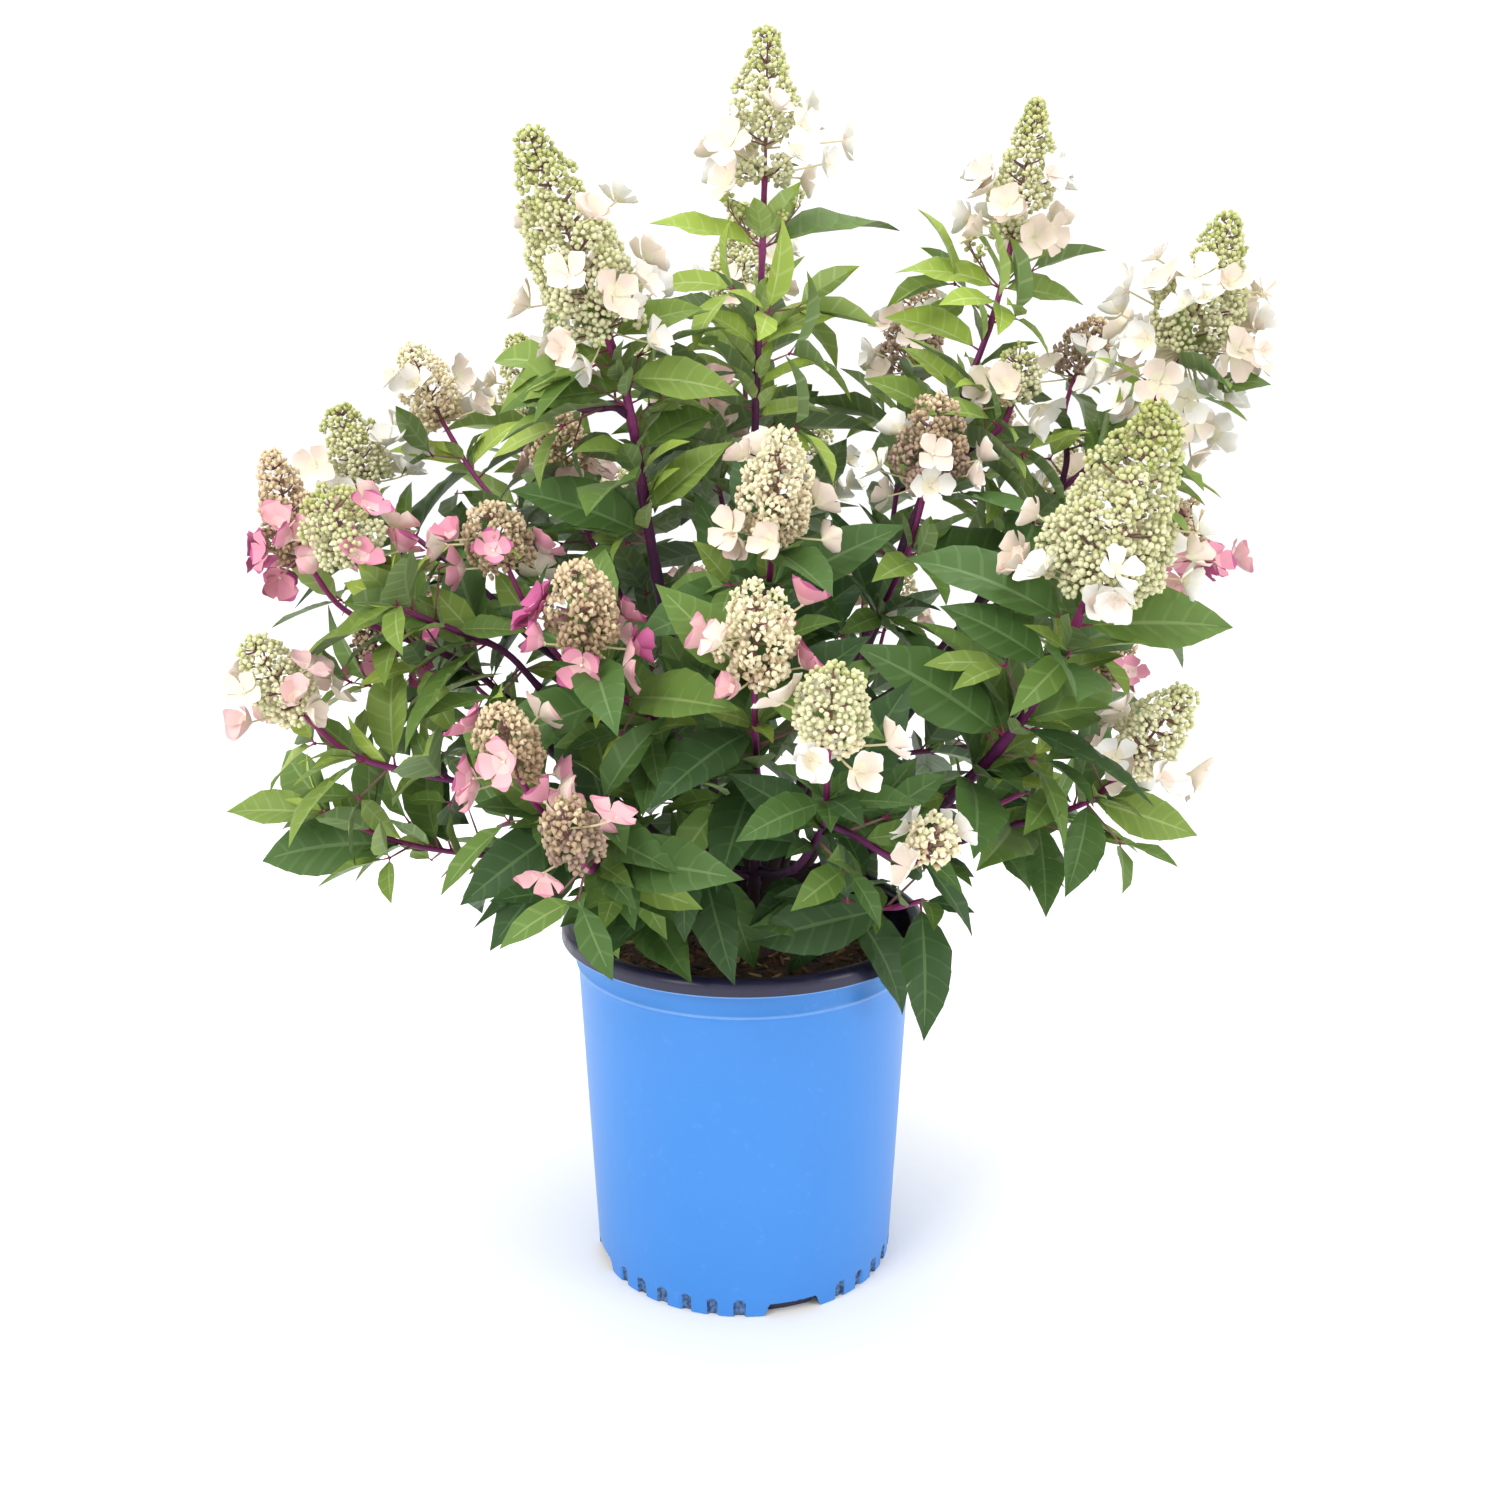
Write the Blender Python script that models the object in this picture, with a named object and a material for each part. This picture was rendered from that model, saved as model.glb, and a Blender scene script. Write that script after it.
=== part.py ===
"""A panicle hydrangea in its nursery pot: a thin plastic pot, potting soil, a root crown, canes, boughs and masses.

Metres, +Z up. The origin is the middle of the pot's flat underside, and -Y is the front of the plant.
An azimuth is measured in plan from the front, positive towards +X, and a reach is the distance from the pot's axis.
"""

import math
import random

import bmesh
import bpy
from mathutils import Matrix, Vector
from mathutils.bvhtree import BVHTree

GAP = 0.0003

# The pot, a thin turned shell with a rolled rim and a low foot ring.
POT_HEIGHT = 0.2185
POT_SEGMENTS = 32
BASE_RADIUS = 0.0925
BODY_TOP_RADIUS = 0.0985
BEAD_RADIUS = 0.1003
BEAD_HEIGHT = 0.0115
RIM_RADIUS = 0.111
RIM_HEIGHT = 0.010
RIM_ROUNDING = 0.0018
WALL = 0.0022
FOOT_THICKNESS = 0.0030
FLOOR_THICKNESS = 0.0030
FLAT_RADIUS = 0.046
CHANNEL_HEIGHT = 0.006
CHANNEL_SLOPE = 0.006

# The foot ring's drain notches, and the round-topped ribs pressed into it between them.
NOTCH_COUNT = 4
NOTCH_CENTRE = 18.5
NOTCH_ANGLE = 20.0
NOTCH_HEIGHT = 0.008
RIB_PITCH = 10.0
RIBS_PER_QUARTER = 6
RIB_WIDTH = 0.008
RIB_HEIGHT = 0.012
RIB_DEPTH = 0.0014
RIB_ARCH_STEPS = 3

# The soil and the woody crown that the canes grow from.
SOIL_EDGE_HEIGHT = 0.1955
SOIL_MIDDLE_HEIGHT = 0.199
SOIL_FLAT_RADIUS = 0.034
CROWN_RADIUS = 0.029
CROWN_HEIGHT = 0.024
CROWN_SEGMENTS = 12
CROWN_RINGS = 4

# Wood: radii, and how many sides and stretches each kind of limb has.
CANE_RADIUS = 0.0040
CANE_TIP_RADIUS = 0.0031
BOUGH_RADIUS = 0.0026
BOUGH_TIP_RADIUS = 0.0021
STEM_RADIUS = 0.0020
STEM_TIP_RADIUS = 0.0014
STOUT_STEMS = {"mass_top": 1.2, "mass_upper_left": 1.6, "mass_upper_right": 1.2, "mass_near_right": 1.6}
CANE_SIDES = 5
BOUGH_SIDES = 5
STEM_SIDES = 3
CANE_STRETCHES = 6
BOUGH_STRETCHES = 5
STEM_STRETCHES = 4
CURVE_STIFFNESS = 0.36
CANE_SEAT_PULL = 0.55
TIP_UPTURN = 0.75
SIDE_SHOOT_ANGLE = 46.0
MASS_TWIG_ANGLE = 45.0

# Leaves stand in opposite pairs, each pair a quarter turn on from the next. Sizes without metres are shares of the
# leaf's length, and angles are degrees.
LEAF_LENGTH = 0.088
LEAF_VARIES = 0.10
LEAF_HALF_WIDTH = 0.26
LEAF_WIDEST = 0.44
LEAF_THICKNESS = 0.0015
LEAF_ROOT = 0.0010
LEAF_FOLD = 0.20
LEAF_ARCH = 0.15
LEAF_LIFT = 0.45
LEAF_FACING = 0.75
LEAF_STEM_PULL = 0.3
LEAF_SPREAD = 62.0
LEAF_NOD = 8.0
LEAF_SAG = 0.12
LEAF_SAG_STEP = 0.03
FIRST_NODE = 0.010
LEAFY_TIP_NODE = 0.002
FIRST_INTERNODE = 0.031
INTERNODE = 0.043
NODE_CLEAR = 0.012
NODE_TURN = 90.0
NODE_JITTER = 14.0
TOP_LEAF = 0.80
LEAF_STEP = 0.12

# Blossom: a panicle is a lumpy cone of buds, and large sterile florets stand out from its lower sides.
PANICLE_SIDES = 6
PANICLE_PROFILE = ((0.0, 0.45), (0.24, 1.0), (0.64, 0.62))
PANICLE_LUMPS = 0.14
PANICLE_SUNK = 0.004
FLORET_RADIUS = 0.0135
FLORET_THICKNESS = 0.0016
FLORET_STAND_OFF = 0.0080
FLORET_SUNK = 1.5
FLORET_FREE = 0.2
FLORETS_PER_LENGTH = 46.0
FLORET_TURN = 137.5
FLORET_STRAY = 25.0
FLORET_LOWEST = 0.06
FLORET_BAND = 0.50
FLORET_DROOP = (13.0, 36.0)
FLORET_SEAT = 0.80

# Seeds: one for each mass from the first, its side panicle's further on, and its leaves' further still.
FIRST_SEED = 100
SIDE_SEED = 50
LEAF_SEED = 700

# Room kept between neighbouring masses, and between foliage and wood.
CLEARANCE = 0.0006

# Canes: slot azimuth and reach on the root crown, then the tip's azimuth, reach and height.
CANES = (
    ("cane_front", 10, 0.0215, 5, 0.085, 0.300),
    ("cane_front_left", -28, 0.0215, -28, 0.100, 0.285),
    ("cane_left_low", -62, 0.0215, -60, 0.130, 0.300),
    ("cane_left", -98, 0.0215, -80, 0.135, 0.355),
    ("cane_left_high", -120, 0.0105, -106, 0.105, 0.400),
    ("cane_upper_left", -40, 0.0105, -57, 0.058, 0.430),
    ("cane_middle", 165, 0.0070, 150, 0.012, 0.480),
    ("cane_upper_right", 78, 0.0115, 90, 0.095, 0.450),
    ("cane_right", 88, 0.0225, 94, 0.150, 0.430),
    ("cane_front_right", 48, 0.0215, 47, 0.150, 0.320),
    ("cane_back_right", 130, 0.0215, 135, 0.115, 0.390),
    ("cane_back", 175, 0.0215, 178, 0.085, 0.430),
    ("cane_back_left", -140, 0.0215, -140, 0.120, 0.385),
)

# Boughs: the cane, how far along it the bough leaves, then the tip's azimuth, reach and height.
BOUGHS = (
    ("bough_front", "cane_front", 0.60, 16, 0.130, 0.300),
    ("bough_front_left", "cane_front_left", 0.55, -18, 0.095, 0.335),
    ("bough_left", "cane_left", 0.62, -63, 0.125, 0.370),
    ("bough_left_high", "cane_left_high", 0.78, -96, 0.145, 0.405),
    ("bough_right_low", "cane_front_right", 0.62, 62, 0.150, 0.290),
    ("bough_back_right", "cane_back_right", 0.66, 122, 0.155, 0.375),
)

# Shoots, one for each mass: the limb it grows from and how far along it (1 is the tip), the azimuth, reach and
# height of the panicle's foot, its lean from upright, its length and half width. No length means leaves only.
SHOOTS = (
    ("mass_top", "cane_middle", 1.0, 149, 0.023, 0.644, 2, 0.078, 0.023),
    ("mass_top_back", "cane_middle", 0.72, -166, 0.082, 0.505, 14, 0.036, 0.014),
    ("mass_centre", "cane_middle", 0.52, 9, 0.101, 0.459, 22, 0.058, 0.019),
    ("mass_upper_left", "cane_upper_left", 1.0, -55, 0.088, 0.561, 24, 0.106, 0.028),
    ("mass_centre_left", "cane_upper_left", 0.50, -61, 0.144, 0.439, 18, 0.036, 0.018),
    ("mass_upper_right", "cane_upper_right", 1.0, 101, 0.156, 0.614, 9, 0.074, 0.019),
    ("mass_centre_right", "cane_upper_right", 0.60, 63, 0.111, 0.481, 8, 0.048, 0.019),
    ("mass_far_right", "cane_right", 1.0, 85, 0.241, 0.551, 17, 0.074, 0.025),
    ("mass_right", "cane_right", 0.68, 90, 0.243, 0.434, 24, 0.038, 0.017),
    ("mass_near_right", "cane_front_right", 1.0, 47, 0.229, 0.440, 20, 0.094, 0.031),
    ("mass_right_low", "bough_right_low", 1.0, 58, 0.233, 0.342, 33, 0.054, 0.017),
    ("mass_front_high", "cane_front", 1.0, 2, 0.170, 0.401, 26, 0.050, 0.019),
    ("mass_front", "bough_front", 1.0, 10, 0.224, 0.378, 12, 0.040, 0.018),
    ("mass_front_left_low", "cane_front_left", 1.0, -31, 0.209, 0.353, 20, 0.040, 0.016),
    ("mass_front_left", "bough_front_left", 1.0, -25, 0.176, 0.413, 12, 0.042, 0.018),
    ("mass_left_low", "cane_left_low", 1.0, -67, 0.252, 0.364, 30, 0.050, 0.017),
    ("mass_left", "cane_left", 1.0, -78, 0.245, 0.442, 14, 0.058, 0.017),
    ("mass_left_near", "bough_left", 1.0, -66, 0.221, 0.445, 20, 0.042, 0.019),
    ("mass_left_high", "cane_left_high", 1.0, -108, 0.191, 0.510, 25, 0.050, 0.017),
    ("mass_left_far", "bough_left_high", 1.0, -98, 0.222, 0.475, 23, 0.048, 0.017),
    ("mass_left_inner", "cane_left_high", 0.60, -112, 0.115, 0.482, 12, 0.036, 0.018),
    ("mass_back_right_high", "cane_back_right", 1.0, 144, 0.185, 0.538, 14, 0.060, 0.021),
    ("mass_back_right", "bough_back_right", 1.0, 122, 0.245, 0.445, 24, 0.058, 0.021),
    ("mass_back_right_low", "cane_back_right", 0.46, 112, 0.240, 0.345, 32, 0.046, 0.018),
    ("mass_back_right_near", "cane_back_right", 0.56, 153, 0.222, 0.365, 28, 0.044, 0.018),
    ("mass_back_high", "cane_back", 1.0, 180, 0.150, 0.575, 16, 0.072, 0.024),
    ("mass_back", "cane_back", 0.66, 168, 0.215, 0.455, 24, 0.056, 0.020),
    ("mass_back_low", "cane_back", 0.42, -172, 0.232, 0.355, 30, 0.048, 0.019),
    ("mass_back_left_high", "cane_back_left", 1.0, -138, 0.205, 0.505, 20, 0.060, 0.021),
    ("mass_back_left", "cane_back_left", 0.70, -157, 0.222, 0.428, 26, 0.052, 0.020),
    ("mass_back_left_low", "cane_back_left", 0.46, -121, 0.238, 0.370, 30, 0.046, 0.018),
    ("mass_left_foot", "cane_left_low", 0.52, -78, 0.243, 0.297, 55, 0.0, 0.0),
    ("mass_front_foot", "cane_front", 0.52, -15, 0.115, 0.300, 58, 0.0, 0.0),
    ("mass_front_right_foot", "cane_front_right", 0.34, 36, 0.160, 0.272, 60, 0.0, 0.0),
    ("mass_front_left_foot", "cane_front_left", 0.40, -46, 0.115, 0.262, 55, 0.0, 0.0),
    ("mass_right_foot", "cane_right", 0.36, 80, 0.165, 0.302, 50, 0.0, 0.0),
    ("mass_back_right_foot", "cane_back_right", 0.30, 150, 0.140, 0.270, 58, 0.0, 0.0),
    ("mass_back_left_foot", "cane_back_left", 0.30, -160, 0.140, 0.270, 58, 0.0, 0.0),
)

# Side panicles on a mass's own stem: how far along it, then azimuth, reach, height, lean, length, half width.
SIDE_PANICLES = (
    ("mass_upper_right", 0.22, 88, 0.151, 0.523, 6, 0.032, 0.013),
    ("mass_far_right", 0.34, 107, 0.207, 0.535, 26, 0.038, 0.016),
    ("mass_front", 0.40, 24, 0.215, 0.318, 25, 0.024, 0.012),
    ("mass_front_left_low", 0.42, -20, 0.222, 0.322, 30, 0.034, 0.015),
    ("mass_left_low", 0.40, -84, 0.206, 0.375, 25, 0.028, 0.014),
    ("mass_upper_left", 0.66, -82, 0.098, 0.525, 34, 0.030, 0.013),
    ("mass_back_high", 0.50, -158, 0.150, 0.525, 30, 0.034, 0.015),
    ("mass_back_right_high", 0.50, 128, 0.195, 0.500, 30, 0.032, 0.014),
)

# Leaves that the photograph shows large: the mass, how far along its stem, azimuth, rise and length.
SHOWN_LEAVES = (
    ("mass_top", 0.77, -84, 19, 0.065),
    ("mass_top", 0.77, 107, 23, 0.091),
    ("mass_top", 0.53, 39, 51, 0.049),
    ("mass_top", 0.43, 121, 39, 0.077),
    ("mass_top", 0.43, -82, 47, 0.041),
    ("mass_top", 0.34, -142, 32, 0.072),
    ("mass_top", 0.30, 74, 32, 0.044),
    ("mass_top", 0.20, 120, 17, 0.059),
    ("mass_upper_left", 0.75, -74, 0, 0.070),
    ("mass_upper_left", 0.92, -112, -8, 0.079),
    ("mass_upper_left", 0.80, 81, 4, 0.066),
    ("mass_upper_left", 0.96, 112, 33, 0.054),
    ("mass_upper_left", 0.15, -73, 29, 0.082),
    ("mass_upper_left", 0.25, 82, 44, 0.062),
    ("mass_upper_left", 0.48, -41, 22, 0.043),
    ("mass_upper_left", 0.50, 129, 31, 0.068),
    ("mass_centre_left", 0.03, -4, -55, 0.051),
    ("mass_upper_right", 0.83, -79, 24, 0.062),
    ("mass_upper_right", 0.83, 100, 0, 0.056),
    ("mass_upper_right", 0.62, -117, 31, 0.067),
    ("mass_upper_right", 0.45, -139, 47, 0.060),
    ("mass_upper_right", 0.36, -75, 40, 0.058),
    ("mass_near_right", 0.85, 91, 5, 0.086),
    ("mass_near_right", 0.35, -76, 40, 0.095),
    ("mass_near_right", 0.35, -148, 62, 0.073),
    ("mass_near_right", 0.85, -105, 32, 0.100),
    ("mass_near_right", 0.68, -89, 39, 0.066),
    ("mass_near_right", 0.40, 116, 19, 0.084),
    ("mass_near_right", 0.20, 118, -1, 0.046),
    ("mass_near_right", 0.02, -63, -5, 0.066),
    ("mass_right_low", 0.70, 87, -14, 0.065),
    ("mass_right_low", 0.70, -15, -43, 0.055),
    ("mass_right_low", 0.35, 5, -44, 0.056),
    ("mass_right_low", 0.03, 73, 27, 0.056),
    ("mass_right_low", 0.03, 57, -37, 0.042),
    ("mass_front", 0.25, -69, 37, 0.057),
    ("mass_front", 0.15, 80, 28, 0.068),
    ("mass_front", 0.02, -83, 12, 0.062),
    ("mass_front_left_low", 0.60, -59, -23, 0.070),
    ("mass_front_left_low", 0.45, -53, -32, 0.085),
    ("mass_front_left_low", 0.28, -27, -51, 0.058),
    ("mass_left_low", 0.60, -156, 64, 0.068),
    ("mass_left_near", 0.53, -84, 20, 0.056),
    ("mass_left_near", 0.48, 77, 7, 0.041),
    ("mass_left_high", 0.78, -94, 16, 0.053),
    ("mass_left_high", 0.76, 93, 56, 0.042),
    ("mass_left_foot", 0.98, -92, 6, 0.067),
    ("mass_left_foot", 0.70, -86, 5, 0.103),
    ("mass_left_foot", 0.96, -119, 35, 0.070),
    ("mass_left_foot", 0.84, -10, 84, 0.059),
    ("mass_left_foot", 0.62, -142, 60, 0.075),
    ("mass_front_foot", 0.98, -7, -55, 0.057),
    ("mass_front_foot", 0.70, 19, -47, 0.076),
    ("mass_front_foot", 0.35, 45, -64, 0.065),
    ("mass_front_right_foot", 0.98, 4, -49, 0.073),
    ("mass_front_right_foot", 0.55, -73, -4, 0.066),
    ("mass_front_right_foot", 0.25, -58, -56, 0.055),
    ("mass_front_right_foot", 0.45, -62, -62, 0.042),
    ("mass_front_right_foot", 0.78, -92, 9, 0.087),
    ("mass_front_left_foot", 0.95, 23, -64, 0.043),
    ("mass_front_left_foot", 0.45, 10, -76, 0.040),
)

# Leaves that the plant has lost, counted along each shoot from its tip: the photo is bare where they would stand,
# at the crown's outline and over the pot's rim.
LOST_LEAVES = {
    "mass_top": (3, 4, 5, 7),
    "mass_upper_right": (3, 4, 5),
    "mass_far_right": (2, 3, 4, 9, 11),
    "mass_right": (1, 8),
    "mass_right_low": (4, 6),
    "mass_front": (5, 10),
    "mass_front_left_low": (10,),
    "mass_left_low": (5, 7),
    "mass_left": (2, 3),
    "mass_left_high": (3,),
    "mass_left_far": (2,),
    "mass_back_high": (1,),
    "mass_back": (7,),
    "mass_left_foot": (3, 5, 10),
    "mass_front_right_foot": (3, 4),
    "mass_right_foot": (4,),
}


def place(azimuth, reach, height):
    turn = math.radians(azimuth)
    return Vector((reach * math.sin(turn), -reach * math.cos(turn), height))


def leaning(azimuth, lean):
    tilt = math.radians(lean)
    return place(azimuth, math.sin(tilt), math.cos(tilt))


def curve_between(start, start_way, end, end_way, stretches):
    """Points on the cubic curve that leaves start along start_way and arrives at end along end_way."""
    handle = CURVE_STIFFNESS * (end - start).length
    corner_a = start + start_way.normalized() * handle
    corner_b = end - end_way.normalized() * handle
    points = []
    for step in range(stretches + 1):
        t = step / stretches
        s = 1.0 - t
        points.append(start * s**3 + corner_a * (3 * s * s * t) + corner_b * (3 * s * t * t) + end * t**3)
    return points


def ways_along(points):
    """The curve's direction at each of its points."""
    last = len(points) - 1
    return [(points[min(i + 1, last)] - points[max(i - 1, 0)]).normalized() for i in range(last + 1)]


def point_along(points, fraction):
    """The point and direction at a fraction of a curve's length."""
    lengths = [(b - a).length for a, b in zip(points, points[1:])]
    left = fraction * sum(lengths)
    for index, length in enumerate(lengths):
        if left <= length or index == len(lengths) - 1:
            a, b = points[index], points[index + 1]
            return a.lerp(b, min(left / length, 1.0)), (b - a).normalized()
        left -= length


def curve_length(points):
    return sum((b - a).length for a, b in zip(points, points[1:]))


def across(way, hint=Vector((0.0, 0.0, 1.0))):
    """A unit vector square to way, in the plane of way and hint."""
    rest = hint - way * hint.dot(way)
    if rest.length < 1e-3:
        rest = Vector((1.0, 0.0, 0.0)) - way * way.x
    return rest.normalized()


def tube(points, radius, tip_radius, sides, seat=None):
    """A tapering limb as vertices and faces; seat is the direction that its first end faces square on."""
    ways = ways_along(points)
    if seat is not None:
        ways[0] = seat.normalized()
    side = across(ways[0])
    verts, faces = [], []
    for index, (point, way) in enumerate(zip(points, ways)):
        side = across(way, side)
        other = way.cross(side)
        ring_radius = radius + (tip_radius - radius) * index / (len(points) - 1)
        for step in range(sides):
            turn = 2 * math.pi * step / sides
            verts.append(point + (side * math.cos(turn) + other * math.sin(turn)) * ring_radius)
    for index in range(len(points) - 1):
        for step in range(sides):
            a = index * sides + step
            b = index * sides + (step + 1) % sides
            faces.append((a, b, b + sides, a + sides))
    faces.append(tuple(reversed(range(sides))))
    faces.append(tuple(range(len(verts) - sides, len(verts))))
    return verts, faces


def leaf(root, axis, normal, length, grown=0.0, start=0.0):
    """A leaf folded along its midrib and arched towards its tip; grown swells it for the room test."""
    side = axis.cross(normal)
    half = LEAF_HALF_WIDTH * length

    def at(along, out):
        width = half * out
        lift = LEAF_FOLD * abs(width) - LEAF_ARCH * length * along**2
        return root + axis * (along * length) + side * width + normal * lift

    foot = root - axis * LEAF_ROOT if start == 0.0 else at(start, 0.0)
    wide = 1.0 + grown / half
    rim = [foot, at(LEAF_WIDEST, wide), at(1.0, 0.0), at(LEAF_WIDEST, -wide)]
    middle = at(LEAF_WIDEST, 0.0)
    thick = normal * (LEAF_THICKNESS / 2 + grown)
    verts = rim + [middle + thick, middle - thick]
    faces = []
    for index in range(4):
        after = (index + 1) % 4
        faces.append((index, after, 4))
        faces.append((index, 5, after))
    return verts, faces


def panicle(foot, way, length, half_width, seed, grown=0.0):
    """A lumpy cone of buds round its own axis."""
    rng = random.Random(seed)
    side = across(way)
    other = way.cross(side)
    verts = [foot - way * PANICLE_SUNK]
    for along, wide in PANICLE_PROFILE:
        for step in range(PANICLE_SIDES):
            turn = 2 * math.pi * step / PANICLE_SIDES
            out = half_width * wide * (1 + PANICLE_LUMPS * rng.uniform(-1, 1)) + grown
            spoke = side * math.cos(turn) + other * math.sin(turn)
            verts.append(foot + way * (along * length) + spoke * out)
    verts.append(foot + way * length)
    tip = len(verts) - 1
    faces = []
    for step in range(PANICLE_SIDES):
        after = (step + 1) % PANICLE_SIDES
        faces.append((0, 1 + after, 1 + step))
        last_ring = tip - PANICLE_SIDES
        faces.append((tip, last_ring + step, last_ring + after))
        for ring in range(len(PANICLE_PROFILE) - 1):
            a = 1 + ring * PANICLE_SIDES + step
            b = 1 + ring * PANICLE_SIDES + after
            faces.append((a, b, b + PANICLE_SIDES, a + PANICLE_SIDES))
    return verts, faces


def floret(centre, inward, normal, grown=0.0, sunk=FLORET_SUNK):
    """A sterile floret: a four-cornered plate whose inward corner is sunk in the panicle."""
    side = inward.cross(normal)
    radius = FLORET_RADIUS + grown
    thick = normal * (FLORET_THICKNESS / 2 + grown)
    reach_in = radius * sunk
    verts = [centre + inward * reach_in, centre + side * radius, centre - inward * radius, centre - side * radius]
    verts += [centre + thick, centre - thick]
    faces = []
    for index in range(4):
        after = (index + 1) % 4
        faces.append((index, 4, after))
        faces.append((index, after, 5))
    return verts, faces


class Room:
    """What already stands, each piece with its owner, so that a new piece can be tried for room."""

    def __init__(self):
        self.pieces = []

    @staticmethod
    def bounds(verts):
        low = Vector([min(v[axis] for v in verts) for axis in range(3)])
        high = Vector([max(v[axis] for v in verts) for axis in range(3)])
        return low, high

    def add(self, owner, shape):
        self.pieces.append((owner, BVHTree.FromPolygons(*shape), *self.bounds(shape[0])))

    def is_clear(self, owner, whole, free_part):
        """True if whole touches nobody else's pieces and free_part touches none of the owner's own."""
        trees = {True: None, False: None}
        low, high = self.bounds(whole[0])
        for other, tree, other_low, other_high in self.pieces:
            if any(low[i] > other_high[i] or high[i] < other_low[i] for i in range(3)):
                continue
            own = other == owner
            if trees[own] is None:
                trees[own] = BVHTree.FromPolygons(*(free_part if own else whole))
            if trees[own].overlap(tree):
                return False
        return True


def grow_canes(crown_tree):
    """Each cane's curve and seat, standing square on the root crown."""
    limbs = {}
    for name, slot_azimuth, slot_reach, azimuth, reach, height in CANES:
        above = place(slot_azimuth, slot_reach, POT_HEIGHT + CROWN_HEIGHT)
        spot, seat, _, _ = crown_tree.ray_cast(above, Vector((0.0, 0.0, -1.0)))
        start = spot + seat * GAP
        end = place(azimuth, reach, height)
        lean = TIP_UPTURN * math.degrees(math.atan2(reach - slot_reach, height - start.z))
        start_way = seat * CANE_SEAT_PULL + Vector((0.0, 0.0, 1.0))
        points = curve_between(start, start_way, end, leaning(azimuth, lean), CANE_STRETCHES)
        limbs[name] = {"points": points, "seat": seat, "radii": (CANE_RADIUS, CANE_TIP_RADIUS)}
    return limbs


def turned_out(way, side, degrees):
    """The direction that is turned from way towards side by an angle."""
    angle = math.radians(degrees)
    return side * math.sin(angle) + way * math.cos(angle)


def side_start(limb, fraction, target):
    """Where a shoot leaves the side of a limb: its first point, first direction and the side that it faces."""
    point, way = point_along(limb["points"], fraction)
    seat = across(way, target - point)
    radius = limb["radii"][0] + (limb["radii"][1] - limb["radii"][0]) * fraction
    return point + seat * (radius + GAP), turned_out(way, seat, SIDE_SHOOT_ANGLE), seat


def tip_start(limb):
    way = ways_along(limb["points"])[-1]
    return limb["points"][-1] + way * GAP, way, way


def grow_boughs(limbs):
    for name, cane, fraction, azimuth, reach, height in BOUGHS:
        end = place(azimuth, reach, height)
        start, start_way, seat = side_start(limbs[cane], fraction, end)
        rise = math.degrees(math.atan2(reach - math.hypot(start.x, start.y), height - start.z))
        points = curve_between(start, start_way, end, leaning(azimuth, TIP_UPTURN * rise), BOUGH_STRETCHES)
        limbs[name] = {"points": points, "seat": seat, "radii": (BOUGH_RADIUS, BOUGH_TIP_RADIUS)}


def floret_frames(foot, way, length, half_width, seed):
    """Centre, inward direction and facing of each sterile floret round a panicle."""
    rng = random.Random(seed)
    side = across(way)
    other = way.cross(side)
    frames = []
    count = max(2, round(length * FLORETS_PER_LENGTH))
    for index in range(count):
        turn = math.radians(FLORET_TURN * index + rng.uniform(-FLORET_STRAY, FLORET_STRAY))
        spoke = side * math.cos(turn) + other * math.sin(turn)
        along = length * (FLORET_LOWEST + FLORET_BAND * index / count)
        out = turned_out(spoke, -way, rng.uniform(*FLORET_DROOP))
        centre = foot + way * along + out * (half_width * FLORET_SEAT + FLORET_STAND_OFF)
        frames.append((centre, -out, across(out, way + spoke * 0.5)))
    return frames


def leaf_frames(points, rng, leafy_tip):
    """Level, root, stem direction, sideways direction and length of each leaf, from the shoot's tip down."""
    length = curve_length(points)
    from_tip = LEAFY_TIP_NODE if leafy_tip else FIRST_NODE
    turn = rng.uniform(0, 360)
    level = 0
    frames = []
    while from_tip < length - NODE_CLEAR:
        point, way = point_along(points, 1 - from_tip / length)
        grown = min(1.0, TOP_LEAF + LEAF_STEP * level)
        for half in (0, 180):
            angle = math.radians(turn + half + rng.uniform(-NODE_JITTER, NODE_JITTER))
            side = across(way)
            sideways = side * math.cos(angle) + way.cross(side) * math.sin(angle)
            size = LEAF_LENGTH * grown * rng.uniform(1 - LEAF_VARIES, 1 + LEAF_VARIES)
            frames.append((level, point, way, sideways, size))
        from_tip += FIRST_INTERNODE if level == 0 else INTERNODE
        turn += NODE_TURN
        level += 1
    return frames


def leaf_axes(root, way, sideways, spread, sag, twist, lift):
    """A leaf's axis and the direction its upper face looks, after it sags and turns to the light."""
    axis = turned_out(way, Matrix.Rotation(math.radians(twist), 3, way) @ sideways, spread)
    axis.z -= sag
    if axis.z < 0:
        axis.z *= lift
    axis.normalize()
    outward = Vector((root.x, root.y, 0.0)).normalized()
    light = Vector((0.0, 0.0, 1.0)) + way * LEAF_STEM_PULL + outward * LEAF_FACING
    return axis, across(axis, light)


LEAF_TRIES = (
    (0, 0, 1.0),
    (24, 0, 1.0),
    (-24, 0, 1.0),
    (0, -16, 0.92),
    (40, 10, 0.9),
    (-40, 10, 0.9),
    (0, 18, 0.85),
    (20, -20, 0.75),
    (-20, -20, 0.75),
)


def try_leaf(room, owner, root, way, sideways, length, spread, sag, lift=LEAF_LIFT):
    """The first way of holding the leaf that has room, or None."""
    for twist, opening, size in LEAF_TRIES:
        axis, normal = leaf_axes(root, way, sideways, spread + opening, sag, twist, lift)
        whole = leaf(root, axis, normal, length * size, CLEARANCE)
        free_part = leaf(root, axis, normal, length * size, CLEARANCE, 0.30)
        if room.is_clear(owner, whole, free_part):
            room.add(owner, whole)
            return root, axis, normal, length * size
    return None


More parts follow.
